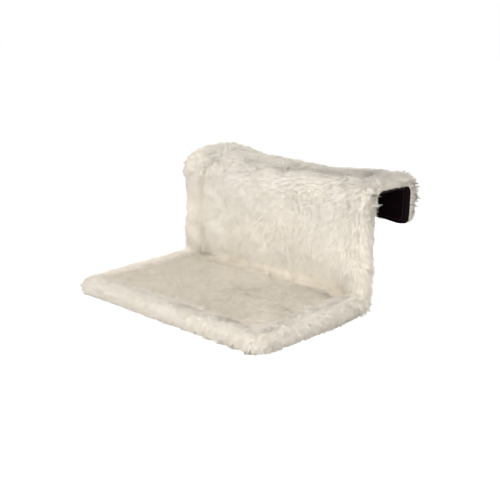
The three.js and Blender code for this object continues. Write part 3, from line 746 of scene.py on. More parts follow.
def pile_material(colours):
    """Cream pile: darker and warmer at the root, pale at the tip, with soft mottling."""
    settings = {"roughness": 0.85, "sheen_weight": 0.06, "sheen_roughness": 0.5, "specular": 0.25}
    material, tree, shader, place = node_material("plush_pile", **settings)
    rising = ranged(tree, attribute(tree, "along"), (0.0, 0.8))
    colour = mixed_colour(tree, rising, tuple(colours.pile_root), tuple(colours.pile_tip))
    colour = multiplied(tree, colour, mixed_colour(tree, attribute(tree, "strand"), STRAND_SHADE, WHITE))
    tree.links.new(mottled(tree, place, colour), shader.inputs["Base Color"])
    return material


def cloth_material(colours):
    """Short dense pile at the foot of the long one, with a felted bump."""
    settings = {"roughness": 0.95, "sheen_weight": 0.08, "specular": 0.2}
    material, tree, shader, place = node_material("plush_cloth", **settings)
    base = tuple((r + t) / 2 for r, t in zip(colours.pile_root, colours.pile_tip))
    tree.links.new(mottled(tree, place, base), shader.inputs["Base Color"])
    bumped(tree, shader, noise_node(tree, place, 900, 4.0), 1.2 * MM, 0.6)
    return material


def lining_material(colours):
    """Dark plain-woven cloth with a dull maroon sheen; its near-black colour is dark maroon darkened further
    as painted shade.
    """
    settings = {"roughness": 0.85, "sheen_weight": 0.018, "sheen_tint": SHEEN_TINT, "specular": 0.05}
    material, tree, shader, place = node_material("lining_cloth", **settings)
    clouds = ranged(tree, noise_node(tree, place, 35, 3.0), (0.3, 0.7))
    colour = tuple(colours.lining)
    base = mixed_colour(tree, clouds, colour, scaled(colour, 2.4))
    woven, *others = (wave_node(tree, place, axis, WEAVE_SCALE, WEAVE_BEND) for axis in "XYZ")
    for other in others:
        woven = maths(tree, "MAXIMUM", woven, other)
    base = mixed_colour(tree, ranged(tree, woven, (0.5, 1.0)), scaled(colour, 0.5), base)
    tree.links.new(base, shader.inputs["Base Color"])
    bumped(tree, shader, woven, 0.25 * MM, 0.5)
    tree.links.new(ranged(tree, woven, (0.0, 1.0), (0.82, 0.62)), shader.inputs["Roughness"])
    return material


def grained(made, share, height, colour, tones, bump, rough=None):
    """Finishes a node_material: the share mixes two tones of its colour, and the height gives its bump."""
    material, tree, shader, _ = made
    first, second = (scaled(colour, by) for by in tones)
    tree.links.new(mixed_colour(tree, share, first, second), shader.inputs["Base Color"])
    bumped(tree, shader, height, *bump)
    if rough is not None:
        tree.links.new(rough, shader.inputs["Roughness"])
    return material


def thread_material(colours):
    """Twisted thread with a slight shine."""
    made = _, tree, _, place = node_material("seam_thread", roughness=0.55)
    twist = ranged(tree, noise_node(tree, place, 1800, 2.0), (0.35, 0.65))
    return grained(made, twist, twist, colours.thread, (0.6, 1.5), (0.1 * MM, 0.5))


def wadding_material(colours):
    """White spun fibre, matt and slightly uneven."""
    made = _, tree, _, place = node_material("wadding_fibre", roughness=1.0)
    fibres = ranged(tree, noise_node(tree, place, 260, 5.0, (1.0, 0.25, 1.0)), (0.35, 0.65))
    return grained(made, fibres, fibres, colours.wadding, (0.88, 1.0), (1.0 * MM, 0.7))


def tape_material(colours, loops):
    """Woven tape with a face of fine loops or hooks."""
    made = _, tree, _, place = node_material("loop_tape" if loops else "hook_tape", roughness=0.9)
    if loops:
        face = ranged(tree, noise_node(tree, place, 1500, 3.0), (0.35, 0.65))
    else:
        face = wave_node(tree, place, "X", HOOK_ROW_SCALE)
    return grained(made, face, face, colours.tape, (0.8, 1.0), (0.3 * MM, 0.8))


def paint_material(colours):
    """Pale powder coat: slightly pebbled, with a few rubbed spots."""
    made = _, tree, _, place = node_material("painted_tube", roughness=0.42, metallic=0.1)
    rubbed = ranged(tree, noise_node(tree, place, 70, 4.0), (0.62, 0.72))
    pebbles = noise_node(tree, place, 1400, 2.0)
    rough = ranged(tree, pebbles, (0.3, 0.7), (0.36, 0.5))
    return grained(made, rubbed, pebbles, colours.paint, (1.0, 0.8), (0.12 * MM, 0.35), rough)


def zinc_material(colours):
    """Bright plated steel with cloudy reflections."""
    made = _, tree, _, place = node_material("zinc_plate", roughness=0.35, metallic=1.0)
    clouds = ranged(tree, noise_node(tree, place, 300, 4.0), (0.35, 0.65))
    rough = ranged(tree, clouds, (0.0, 1.0), (0.28, 0.45))
    return grained(made, clouds, clouds, colours.zinc, (0.85, 1.12), (0.03 * MM, 0.3), rough)


def plastic_material(colours):
    """Dark moulded plastic with a fine grain."""
    made = _, tree, _, place = node_material("moulded_plastic", roughness=0.5)
    grain = noise_node(tree, place, 2200, 3.0)
    share, rough = ranged(tree, grain, (0.3, 0.7)), ranged(tree, grain, (0.3, 0.7), (0.42, 0.58))
    return grained(made, share, grain, colours.plastic, (1.0, 1.6), (0.05 * MM, 0.4), rough)


def dress(made, material, body=None):
    """Gives a new piece its material and the body that it rides on."""
    made.data.materials.clear()
    made.data.materials.append(material)
    if body is not None:
        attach(made, body)


def bend_with_hook(made):
    """Bakes the piece's placement into its mesh."""
    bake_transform(made)


class CATBED_OT_stage(bpy.types.Operator):
    """Camera, pale floor, white surroundings and soft lamps"""

    bl_idname = "catbed.stage"
    bl_label = "Stage"

    def execute(self, context):
        scene = context.scene
        scene.view_settings.view_transform = "Standard"
        camera = linked("camera", bpy.data.cameras.new("camera"))
        scene.camera = camera
        turn, rise, roll = CAMERA_TURN, CAMERA_RISE, CAMERA_ROLL
        back = Vector((math.sin(turn) * math.cos(rise), -math.cos(turn) * math.cos(rise), math.sin(rise)))
        right = Vector((math.cos(turn), math.sin(turn), 0.0))
        up = back.cross(right)
        level_right = right * math.cos(roll) + up * math.sin(roll)
        level_up = up * math.cos(roll) - right * math.sin(roll)
        axes = Matrix((level_right, level_up, back)).transposed()
        camera.matrix_world = Matrix.Translation(CAMERA_TARGET + back * CAMERA_DISTANCE) @ axes.to_4x4()
        camera.data.lens, camera.data.sensor_width = LENS, SENSOR
        camera.data.clip_start, camera.data.clip_end = NEAREST, FARTHEST

        world = bpy.data.worlds.new("surroundings")
        scene.world = world
        world.use_nodes = True
        tree = world.node_tree
        white = tree.nodes.new("ShaderNodeBackground")
        mix = tree.nodes.new("ShaderNodeMixShader")
        tree.links.new(seen_rays(tree), mix.inputs["Fac"])
        lit = ((tree.nodes["Background"], (1.0, 0.975, 0.94), 0.42), (white, WHITE, 1.0))
        for socket, (light, colour, strength) in zip(mix.inputs[1:], lit):
            light.inputs["Color"].default_value = (*colour, 1.0)
            light.inputs["Strength"].default_value = strength
            tree.links.new(light.outputs["Background"], socket)
        tree.links.new(mix.outputs["Shader"], tree.nodes["World Output"].inputs["Surface"])

        corners = [(-1, -1), (1, -1), (1, 1), (-1, 1)]
        corners = [(x * FLOOR_HALF, y * FLOOR_HALF, 0) for x, y in corners]
        floor = mesh_object("floor", corners, [(0, 1, 2, 3)], smooth=False)
        floor.location.z = -FLOOR_DROP
        floor.data.materials.append(floor_material())

        for name, place, size, power in LAMPS:
            lamp(name, place, size, power)
        return {"FINISHED"}


def seen_rays(tree):
    """1 for rays that show the surroundings: straight from the camera, mirrored or passed through."""
    path = tree.nodes.new("ShaderNodeLightPath")
    shown = path.outputs["Is Camera Ray"]
    for name in ("Is Glossy Ray", "Is Transmission Ray"):
        shown = maths(tree, "MAXIMUM", shown, path.outputs[name])
    return shown


def floor_material():
    """Pale matt floor that shows white where no shadow falls."""
    material, tree, shader, place = node_material("floor_paint", roughness=0.9, specular=0.0)
    tone = ranged(tree, noise_node(tree, place, 3, 2.0), (0.3, 0.7), (0.93, 0.97))
    tree.links.new(mixed_colour(tree, tone, (0.0, 0.0, 0.0), (0.75, 0.75, 0.75)), shader.inputs["Base Color"])
    glow = tree.nodes.new("ShaderNodeEmission")
    glow.inputs["Color"].default_value = (*WHITE, 1.0)
    tree.links.new(ranged(tree, seen_rays(tree), (0.0, 1.0), (0.0, 0.8)), glow.inputs["Strength"])
    both = tree.nodes.new("ShaderNodeAddShader")
    tree.links.new(shader.outputs["BSDF"], both.inputs[0])
    tree.links.new(glow.outputs["Emission"], both.inputs[1])
    tree.links.new(both.outputs["Shader"], tree.nodes["Material Output"].inputs["Surface"])
    return material


def lamp(name, place, size, power):
    """A soft square lamp that points at the bed."""
    data = bpy.data.lights.new(name, "AREA")
    data.size = size
    data.energy = power
    made = linked(name, data)
    made.location = place
    made.rotation_euler = (LAMP_AIM - Vector(place)).to_track_quat("-Z", "Y").to_euler()


class CATBED_OT_plush_cover(bpy.types.Operator):
    """Plush cloth over the whole frame: border rolls, sunken seat panel, back, top and flap"""

    bl_idname = "catbed.plush_cover"
    bl_label = "Plush cover"

    def execute(self, context):
        sizes, colours = context.scene.catbed_sizes, context.scene.catbed_colours
        form = mesh_object("plush_cover", *cover_form(sizes))
        remesh = form.modifiers.new("remesh", "REMESH")
        remesh.mode = "VOXEL"
        remesh.voxel_size = sizes.voxel
        smoothed(form)
        settle(form)
        soften_form(form)
        open_underside(form)
        form["outer_faces"] = len(form.data.polygons)
        thickened(form, sizes.skin)
        dress(form, cloth_material(colours))
        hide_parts("seat_plush", "back_plush", "top_plush", "flap_plush")
        bend_with_hook(form)
        return {"FINISHED"}


def soften_form(form):
    """Gives the cover the soft unevenness of stuffed cloth."""
    mesh = form.data
    points, normals = points_of(mesh), normals_of(mesh)
    along, height = unrolled(points)
    lift = sum(rise * waves(points, length, seed) for rise, length, seed in LUMPS)
    lift *= np.clip((height - CLOTH_FOOT - LUMP_START) / LUMP_EASE, 0, 1)
    lift *= smooth_between([(CORNER, 0.5), (BACK, 1.0)], along)
    set_points(mesh, points + normals * lift[:, None])


def settle(form):
    """Lets the stuffed cloth swell and buckle a little between its seams, under soft pressure from inside."""
    scene = bpy.context.scene
    start = points_of(form.data)
    along, height = unrolled(start)
    out, valley = np.abs(start[:, 0]), TUBE_X - ROLL_HALF
    seam = np.minimum(np.abs(out - valley), np.abs(along - AXIS_INSET - ROLL_HALF))
    hold = np.clip(1 - seam / SEAM_HOLD, 0, 1) * 0.9
    hold = np.where((out > valley) | (along < AXIS_INSET + ROLL_HALF), np.maximum(hold, 0.35), hold)
    crease = np.clip(1.5 - np.abs(along - (CORNER + BACK) / 2) / CREASE_HOLD, 0, 1)
    hold = np.where(height < CLOTH_FOOT + FOOT_HOLD, 1.0, np.maximum(hold, 0.9 * crease))
    held = form.vertex_groups.new(name="held")
    for i in np.flatnonzero(hold > 0.05):
        held.add([int(i)], float(hold[i]), "REPLACE")
    cloth = form.modifiers.new("stuffed", "CLOTH")
    cloth.settings.quality = 4
    cloth.settings.mass = 0.2
    cloth.settings.tension_stiffness = cloth.settings.compression_stiffness = 12
    cloth.settings.shear_stiffness = 5
    cloth.settings.bending_stiffness = 0.4
    cloth.settings.use_pressure = True
    cloth.settings.uniform_pressure_force = 4
    cloth.settings.shrink_min = -0.05
    cloth.settings.vertex_group_mass = held.name
    cloth.settings.effector_weights.gravity = 0
    cloth.collision_settings.use_collision = False
    for moment in range(1, SETTLE_FRAMES + 1):
        scene.frame_set(moment)
    shown = form.evaluated_get(bpy.context.evaluated_depsgraph_get())
    moved = points_of(shown.data) - start
    far = np.linalg.norm(moved, axis=1)
    kept = MOST_SETTLED * np.tanh(far / MOST_SETTLED)
    form.modifiers.clear()
    form.vertex_groups.clear()
    scene.frame_set(1)
    set_points(form.data, start + moved * (kept / np.maximum(far, 1e-9))[:, None])
    smoothed(form)


def open_underside(form):
    """Takes away the faces towards the lining, so that the cloth is a skin that is open there."""
    mesh = form.data
    edit = bmesh.new()
    edit.from_mesh(mesh)
    centres = np.array([face.calc_center_median() for face in edit.faces])
    normals = np.array([face.normal for face in edit.faces])
    along, height = unrolled(centres)
    facing = (normals * upward(side_line(along)[2])).sum(1)
    inside = (np.abs(centres[:, 0]) < SIDE_X - UNDER_INSET) & (along > UNDER_FRONT)
    under = (height < CLOTH_FOOT + UNDER_RISE) & (facing < -0.3) & inside
    edit.faces.ensure_lookup_table()
    bmesh.ops.delete(edit, geom=[edit.faces[i] for i in np.flatnonzero(under)], context="FACES")
    edit.to_mesh(mesh)
    edit.free()


def outer_triangles(mesh, count):
    """Corner points and corner normals of the triangles on the cloth's outer side."""
    mesh.calc_loop_triangles()
    corners = np.empty(len(mesh.loop_triangles) * 3, np.int32)
    mesh.loop_triangles.foreach_get("vertices", corners)
    owner = np.empty(len(mesh.loop_triangles), np.int32)
    mesh.loop_triangles.foreach_get("polygon_index", owner)
    corners = corners.reshape(-1, 3)[owner < count]
    return points_of(mesh)[corners], normals_of(mesh)[corners]


def unit(vectors):
    return vectors / np.maximum(np.linalg.norm(vectors, axis=1), 1e-12)[:, None]


def flattened(vectors, normals):
    """The part of each vector that lies in the surface."""
    return vectors - (vectors * normals).sum(1)[:, None] * normals


class CATBED_OT_pile(bpy.types.Operator):
    """Long cream pile on the plush cloth, in tufts that lie the way the bed is stroked and hang"""

    bl_idname = "catbed.pile"
    bl_label = "Pile"

    def execute(self, context):
        sizes, colours = context.scene.catbed_sizes, context.scene.catbed_colours
        cloth = bpy.data.objects["plush_cover"]
        rng = np.random.default_rng(PILE_SEED)
        points, normals = outer_triangles(cloth.data, cloth["outer_faces"])
        area = np.linalg.norm(np.cross(points[:, 1] - points[:, 0], points[:, 2] - points[:, 0]), axis=1)
        _, height = unrolled(points.mean(1))
        area[height < BARE_BELOW] = 0
        total = sizes.hairs
        chosen = rng.choice(len(area), total, p=area / area.sum())
        first, second = rng.random(total), rng.random(total)
        over = first + second > 1
        first[over], second[over] = 1 - first[over], 1 - second[over]
        weights = np.stack([1 - first - second, first, second], 1)[:, :, None]
        roots = (points[chosen] * weights).sum(1)
        ups = unit((normals[chosen] * weights).sum(1))
        lines = tuft_lines(roots, ups, sizes, rng)
        material = pile_material(colours)
        for name, part in pile_parts(roots):
            keep = np.flatnonzero(part)
            made = tufts(f"pile_{name}", [line[keep] for line in lines], ups[keep], rng)
            dress(made, material)
            bend_with_hook(made)
        return {"FINISHED"}


def pile_parts(roots):
    """Splits the pile by the parts of the cover that carry it."""
    along, _ = unrolled(roots)
    rolled = np.abs(roots[:, 0]) > TUBE_X - ROLL_HALF
    ends = (AXIS_INSET + FRONT_PART, (CORNER + BACK) / 2, (SHOULDER + TOP) / 2, (HOOK + LEG) / 2, math.inf)
    start = -math.inf
    for name, end in zip(("front", "seat", "back", "top", "flap"), ends):
        region = (along >= start) & (along < end)
        start = end
        for side, on_side in (("left", roots[:, 0] < 0), ("right", roots[:, 0] >= 0)):
            if name in ("seat", "back"):
                yield f"{name}_roll_{side}", region & on_side & rolled
                yield f"{name}_panel_{side}", region & on_side & ~rolled
            else:
                yield f"{name}_{side}", region & on_side


def lie_of(roots, ups, along, side_roll, front_roll, seat):
    """The way that each tuft lies in the cloth: down, outwards, forward, and round the hook at its ends."""
    _, _, heading = side_line(along)
    none, roll = np.zeros(len(roots)), np.maximum(side_roll, front_roll)
    forward = np.stack([none, -np.cos(heading), -np.sin(heading)], 1)
    sideways = np.stack([np.sign(roots[:, 0]), none, none], 1)
    spread = 0.15 * np.clip(np.abs(roots[:, 0]) / SPREAD_EASE, 0, 1)
    lie = DOWN * 0.9 + sideways * (spread * (1 - roll) + 0.6 * side_roll * (1 - 0.5 * front_roll))[:, None]
    lie += forward * (0.55 * seat + 0.25 * (along < CORNER) * side_roll + 0.6 * front_roll)[:, None]
    side_face = np.clip(np.abs(ups[:, 0]) * 1.4 - 0.4, 0, 1)
    hooked = (smooth_between(HOOKED, along) * side_face)[:, None]
    lie = unit(flattened(lie * (1 - hooked) + upward(heading) * hooked, ups) + 1e-6)
    swirl = sum(share * waves(roots, length, seed) for share, length, seed in SWIRL_WAVES)
    swirl = (swirl * (1 - 0.5 * roll) * (1 - 0.7 * seat))[:, None]
    return lie * np.cos(swirl) + np.cross(ups, lie) * np.sin(swirl)


def drawn(points, roots, to, kept, pull):
    """Pulls points of tufts towards those of chosen tufts, keeping a share of the way between their roots."""
    return points + (points[to] + (roots - roots[to]) * kept - points) * pull


def tuft_lines(roots, ups, sizes, rng):
    """Root, middle and tip of each tuft, its width and shade, and how much it is lit like the cloth.

    A tuft leans with the pile's lie, bends over and joins its neighbours in a clump. A few stand out.
    """
    count = len(roots)
    out = np.abs(roots[:, 0])
    along, height = unrolled(roots)
    side_roll = np.clip((out - (TUBE_X - sizes.roll_inner)) / ROLL_EASE, 0, 1)
    front_roll = np.clip((AXIS_INSET + sizes.roll_inner - along) / ROLL_EASE, 0, 1)
    roll = np.maximum(side_roll, front_roll)
    seat = np.clip(ups[:, 2] * 1.25 - 0.2, 0, 1) * (along < SHOULDER - 20 * MM) * (1 - roll)
    lie = lie_of(roots, ups, along, side_roll, front_roll, seat)
    on_rolls = sizes.roll_pile * smooth_between(ON_ROLLS, along)
    length = np.where(roll > 0.5, on_rolls, sizes.panel_pile * (1 - seat) + sizes.seat_pile * seat)
    guard = rng.random(count) < sizes.guard_share
    length = length * rng.uniform(*LENGTH_SPREAD, count) * np.where(guard, GUARD_LONGER, 1)
    bend = smooth_between(BENT, along) * (0.35 + 0.65 * roll)
    near_lining = np.clip((height - edge_curl(along, roots[:, 0])) / LINING_EASE, 0.15, 1)
    length = length * (1 + 0.3 * bend) * (1 + (near_lining - 1) * smooth_between(SHORT_BY_LINING, along))
    length = length * smooth_between(CREASED, along)
    lean = LEAN + 0.2 * seat - 0.1 * roll - 0.2 * bend * roll + LEAN_SPREAD * rng.normal(size=count)
    lean -= guard * (0.18 + 0.15 * np.abs(rng.normal(size=count)))
    skirt = (along < CORNER - 20 * MM) * roll * np.clip(1 - height / ROLL_EASE, 0, 1)
    lean = np.clip(lean - 0.2 * skirt + 0.2 * front_roll, *LEAN_LIMITS)[:, None]
    length = length * (1 + (0.3 + 0.5 * roots[:, 0] / TUBE_X) * skirt)
    first_way = unit(ups * np.cos(lean * 0.8) + lie * np.sin(lean * 0.8))
    second_way = unit(ups * np.cos(lean * 1.25) + lie * np.sin(lean * 1.25) + DOWN * 0.15)
    scatter = rng.normal(size=(count, 3)) * np.where(guard, 0.3, 0.12)[:, None]
    middles = roots + first_way * (length * 0.5)[:, None]
    tips = middles + unit(second_way + scatter) * (length * 0.55)[:, None]

    leaders = rng.choice(count, max(1, count // TUFTS_IN_CLUMP), replace=False)
    nearest, _ = nearest_of(roots, leaders)
    pull = (rng.uniform(*CLUMP_PULL, count) * np.where(guard, 0.5, 1))[:, None]
    tips = drawn(tips, roots, nearest, 0.3, pull)
    middles = drawn(middles, roots, nearest, 0.7, pull * 0.4)

    edge = roll * (np.abs(ups[:, 0]) * 1.3 - 0.2 + (along > TOP) * 0.5 + (along < AXIS_INSET) * 0.4)
    edge = np.clip(edge, 0.04, 1)
    bold = np.flatnonzero(rng.random(count) < WISP_SHARE * edge)
    stray = rng.normal(size=(len(bold), 3)) * np.where(along[bold] > SHOULDER - 40 * MM, 0.42, 0.25)[:, None]
    reach = (length[bold] * rng.uniform(*WISP_LENGTH, len(bold)))[:, None]
    tips[bold] = roots[bold] + unit(ups[bold] * 0.75 + lie[bold] * 0.75 + stray) * reach
    wisp, far = nearest_of(roots, bold)
    joined = np.clip(1.5 - far / WISP_REACH, 0, 1)
    pull = (rng.uniform(*WISP_PULL, count) * joined * (0.5 + 0.5 * edge))[:, None]
    tips = drawn(tips, roots, wisp, 0.12, pull)
    middles = drawn(middles, roots, wisp, 0.75, pull * 0.3)

    width = sizes.hair / 2 * rng.uniform(*WIDTH_SPREAD, count)
    width = width * np.where(guard, 0.55 + 0.45 * joined, 1 + 0.3 * joined)
    streaks = waves(roots * np.array((1.0, 1.0, 0.2)), STREAK_LENGTH, 23) * smooth_between(STREAKED, along)
    uneven = 0.14 * rng.normal(size=count)[nearest] + 0.1 * rng.normal(size=count)
    shade = (0.5 + uneven * (0.8 + 0.6 * roll) + 0.1 * streaks).clip(0, 1)
    return roots - ups * ROOT_DEPTH, kept_off(middles), kept_off(tips), width, shade, 0.82 - 0.2 * roll


def nearest_of(points, chosen):
    """The nearest of some chosen points to each point, and its distance."""
    tree = kdtree.KDTree(len(chosen))
    for i, pick in enumerate(chosen):
        tree.insert(points[pick], i)
    tree.balance()
    found = [tree.find(point)[1:] for point in points]
    return chosen[np.array([i for i, _ in found])], np.array([distance for _, distance in found])


def kept_off(points):
    """Keeps tufts off the lining and the floor, and within reach of the frame's box."""
    along, height = unrolled(points)
    wide = lining_half(np.clip(along, LINING_INSET, LINING_HEM))
    clear = np.where(np.abs(points[:, 0]) < wide, OFF_LINING, OFF_FLOOR) + edge_curl(along, points[:, 0])
    push = np.where(along < LINING_HEM, np.maximum(clear - height, 0), 0)[:, None]
    points = points + upward(side_line(along)[2]) * push
    low_end, high_end = (np.array(end) for end in CAD_BOX)
    centre, half = (low_end + high_end) / 2, (high_end - low_end) / 2 + STAND_PROUD - PROUD_EASE
    beyond = np.maximum(np.abs(points - centre) - half, 0)
    points = points - np.sign(points - centre) * (beyond - PROUD_EASE * np.tanh(beyond / PROUD_EASE))
    points[:, 2] = np.maximum(points[:, 2], OFF_FLOOR)
    return points


def tufts(name, lines, ups, rng):
    """Tufts as thin closed spikes with three sides and seven points, shaded like the cloth they stand on."""
    roots, middles, tips, width, shade, evenness = lines
    count = len(roots)
    way = unit(middles - roots)
    side = unit(np.cross(way, unit(rng.normal(size=(count, 3)))))
    other = np.cross(way, side)
    rows = []
    for centre, share in ((roots, 1.0), (middles, 0.8)):
        for turn in (2 * math.pi * k / 3 for k in range(3)):
            rows.append(centre + (side * math.cos(turn) + other * math.sin(turn)) * (width * share)[:, None])
    points = np.stack([*rows, tips], 1).reshape(-1, 3)
    base = (np.arange(count) * SPIKE_POINTS)[:, None]
    quads = np.concatenate([base + np.array(q) for q in ((0, 1, 4, 3), (1, 2, 5, 4), (2, 0, 3, 5))])
    threes = np.concatenate([base + np.array(t) for t in ((3, 4, 6), (4, 5, 6), (5, 3, 6), (2, 1, 0))])
    corners = np.concatenate([quads.ravel(), threes.ravel()]).astype(np.int32)
    starts = np.concatenate([np.arange(len(quads)) * 4, len(quads) * 4 + np.arange(len(threes)) * 3])
    mesh = bpy.data.meshes.new(name)
    mesh.vertices.add(len(points))
    mesh.vertices.foreach_set("co", points.ravel())
    mesh.loops.add(len(corners))
    mesh.loops.foreach_set("vertex_index", corners)
    mesh.polygons.add(len(starts))
    mesh.polygons.foreach_set("loop_start", starts.astype(np.int32))
    mesh.update(calc_edges=True)
    mesh.shade_smooth()
    evenness = np.repeat(evenness, SPIKE_POINTS)[:, None]
    shading = unit(np.repeat(ups, SPIKE_POINTS, axis=0) * evenness + normals_of(mesh) * (1 - evenness))
    mesh.normals_split_custom_set_from_vertices(shading.tolist())
    rising = np.tile((0, 0, 0, 0.5, 0.5, 0.5, 1), count)
    for label, values in (("along", rising), ("strand", np.repeat(shade, SPIKE_POINTS))):
        mesh.attributes.new(label, "FLOAT", "POINT").data.foreach_set("value", values.astype(np.float32))
    return linked(name, mesh)


def rounded(share):
    """How far a round corner of radius 1 steps back from its edge."""
    return 1 - np.sqrt(1 - (1 - np.clip(share, 0, 1)) ** 2)


def lining_half(along):
    """Half width of the lining at a distance along the cover, with round corners at the front and the hem."""
    edge = SIDE_X - LINING_INSET + smooth_between([(SHOULDER, 0.0), (TOP, LINING_WIDER)], along)
    edge = edge - LINING_CORNER * rounded((np.asarray(along) - LINING_INSET) / LINING_CORNER)
    return edge - HEM_CORNER * rounded((LINING_HEM - np.asarray(along)) / HEM_CORNER)


def edge_curl(along, across):
    """How far the lining's edge curls up round the roll of the hook."""
    near = np.clip(1 - (lining_half(along) - np.abs(across)) / CURL_WIDTH, 0, 1)
    return EDGE_CURL * near**2 * smooth_between([(SHOULDER - 10 * MM, 0.0), (TOP, 1.0)], along)


def lining_height(along, across):
    """Height of the lining's outer side, with soft wrinkles, a folded edge and a wavy hem."""
    flat = np.stack([across, along, np.zeros(np.shape(along))], -1).reshape(-1, 3)
    wrinkle = sum(share * waves(flat * stretch, length, seed) for share, stretch, length, seed in WRINKLES)
    free = smooth_between([(CORNER, 0.3), (BACK, 1.0), (HOOK, 1.0), (LEG, 0.6)], along)
    edge = np.minimum(along - LINING_INSET, LINING_HEM - along)
    edge = np.minimum(lining_half(along) - np.abs(across), edge)
    inner = np.clip((edge - LINING_FOLD) / WRINKLE_EASE, 0, 1)
    height = LINING_LIFT + (0.5 + 0.5 * wrinkle.reshape(np.shape(along))) * free * inner * MM
    folded = np.clip((LINING_FOLD - edge) / FOLD_EASE, 0, 1) * np.clip(edge / EDGE_EASE, 0, 1)
    height = height + edge_curl(along, across) - FOLD_STEP * folded
    hang = np.clip((along - TAPE_TOP) / (LINING_HEM - TAPE_TOP), 0, 1)
    wave = (1 - np.cos(3.5 * math.pi * (across / (SIDE_X - LINING_INSET) + 1))) / 2
    return height - HEM_WAVE * wave * hang**2


class CATBED_OT_lining(bpy.types.Operator):
    """Dark lining: one cloth under the seat, behind the back and inside the hook, with a free wavy hem"""

    bl_idname = "catbed.lining"
    bl_label = "Lining"

    def execute(self, context):
        front, hem = LINING_INSET + LINING_CORNER, LINING_HEM - HEM_CORNER
        runs = [
            LINING_INSET + LINING_CORNER * (1 - np.cos(np.linspace(0.05, QUARTER, 9))),
            np.arange(front + 3 * MM, hem, LINING_STEP),
            LINING_HEM - HEM_CORNER * (1 - np.sin(np.linspace(0, QUARTER, 7))),
        ]
        runs = np.concatenate(runs)
        rim = np.sin(np.linspace(-QUARTER, QUARTER, 25)) * 0.04
        shares = np.concatenate([-0.96 + rim[:13], np.linspace(-0.955, 0.955, 101), 0.96 + rim[12:]])
        along = np.repeat(runs, len(shares))
        across = np.tile(shares, len(runs)) * lining_half(along)
        droop = HEM_DROOP * np.clip((along - LEG) / (LINING_HEM - LEG), 0, 1) * np.sin(across / DROOP_LENGTH)
        points = placed(along - droop, across, lining_height(along, across))
        made = mesh_object("lining", points, [face[::-1] for face in grid_faces(len(runs), len(shares))])
        thickened(made, LINING_THICKNESS)
        dress(made, lining_material(context.scene.catbed_colours))
        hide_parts("seat_lining", "back_lining", "top_lining", "flap_lining")
        bend_with_hook(made)
        return {"FINISHED"}


def stitch_line():
    """Middles of the stitches round the lining: distance along, place across, and the thread's way."""
    start, stop = LINING_INSET + LINING_CORNER, LINING_HEM - SEAM_INSET
    reach = LINING_CORNER - SEAM_INSET
    edge, corner_x = SIDE_X - LINING_INSET - SEAM_INSET, SIDE_X - LINING_INSET - LINING_CORNER
    run = np.arange(start, stop, STITCH_PITCH)
    turn = np.arange(0, QUARTER, STITCH_PITCH / reach)[1:]
    rows = []
    for side in (-1, 1):
        rows.append((run, np.full(run.shape, side * edge), np.ones(run.shape), np.zeros(run.shape)))
        corner = side * (corner_x + reach * np.cos(turn))
        rows.append((start - reach * np.sin(turn), corner, np.cos(turn), side * np.sin(turn)))
    for distance, end in ((LINING_INSET + SEAM_INSET, corner_x), (stop, edge)):
        row = np.arange(-end, end, STITCH_PITCH)
        rows.append((np.full(row.shape, distance), row, np.zeros(row.shape), np.ones(row.shape)))
    return [np.concatenate(part) for part in zip(*rows)]


class CATBED_OT_lining_seam(bpy.types.Operator):
    """Row of stitches along the folded edge of the lining"""

    bl_idname = "catbed.lining_seam"
    bl_label = "Lining seam"

    def execute(self, context):
        along, across, way_s, way_x = stitch_line()
        rings, sides = [(-0.5, 0.25), (-0.36, 0.85), (0.0, 1.0), (0.36, 0.85), (0.5, 0.25)], 6
        points = []
        for share, wide in rings:
            for angle in (2 * math.pi * k / sides for k in range(sides)):
                out, up = THREAD_RADIUS * wide * math.cos(angle), THREAD_RADIUS * wide * math.sin(angle)
                s = along + way_s * STITCH_LENGTH * share - way_x * out
                x = across + way_x * STITCH_LENGTH * share + way_s * out
                points.append(placed(s, x, lining_height(s, x) + up + THREAD_DIP * (1 - wide)))
        section, count = swept_faces(len(rings), sides), len(points)
        faces = [tuple(i * count + v for v in face) for i in range(len(along)) for face in section]
        made = mesh_object("lining_seam", np.stack(points, 1).reshape(-1, 3), faces)
        dress(made, thread_material(context.scene.catbed_colours))
        bend_with_hook(made)
        return {"FINISHED"}


def soft_pad(name, s0, s1, half, top, seed):
    """A closed pad of fibre between two distances along the cover, crowned, with round edges."""
    shares = np.sin(np.linspace(-QUARTER, QUARTER, 49))
    across, along = (share.ravel() for share in np.meshgrid(shares, shares))
    swell = np.sqrt(1 - (np.abs(across) ** 8 + np.abs(along) ** 8).clip(0, 1))
    s = (s0 + s1) / 2 + (s1 - s0) / 2 * along
    x = half * across
    lumps = 0.06 * waves(np.stack([x, s, np.zeros(s.shape)], -1), PAD_LUMPS, seed)
    centre, rise = (CLOTH_FOOT + top) / 2, (top - CLOTH_FOOT) / 2
    upper = placed(s, x, centre + rise * swell * (0.93 + lumps))
    lower = placed(s, x, centre - rise * swell * 0.97)
    count = len(shares)
    size = count * count
    grid = grid_faces(count, count)
    faces = grid + [tuple(v + size for v in face[::-1]) for face in grid]
    rim = list(range(count)) + [i * count + count - 1 for i in range(1, count)]
    rim += [size - 1 - i for i in range(1, count)] + [i * count for i in range(count - 2, 0, -1)]
    faces += [(b, a, a + size, b + size) for a, b in zip(rim, rim[1:] + rim[:1])]
    return mesh_object(name, np.concatenate([upper, lower]), faces)


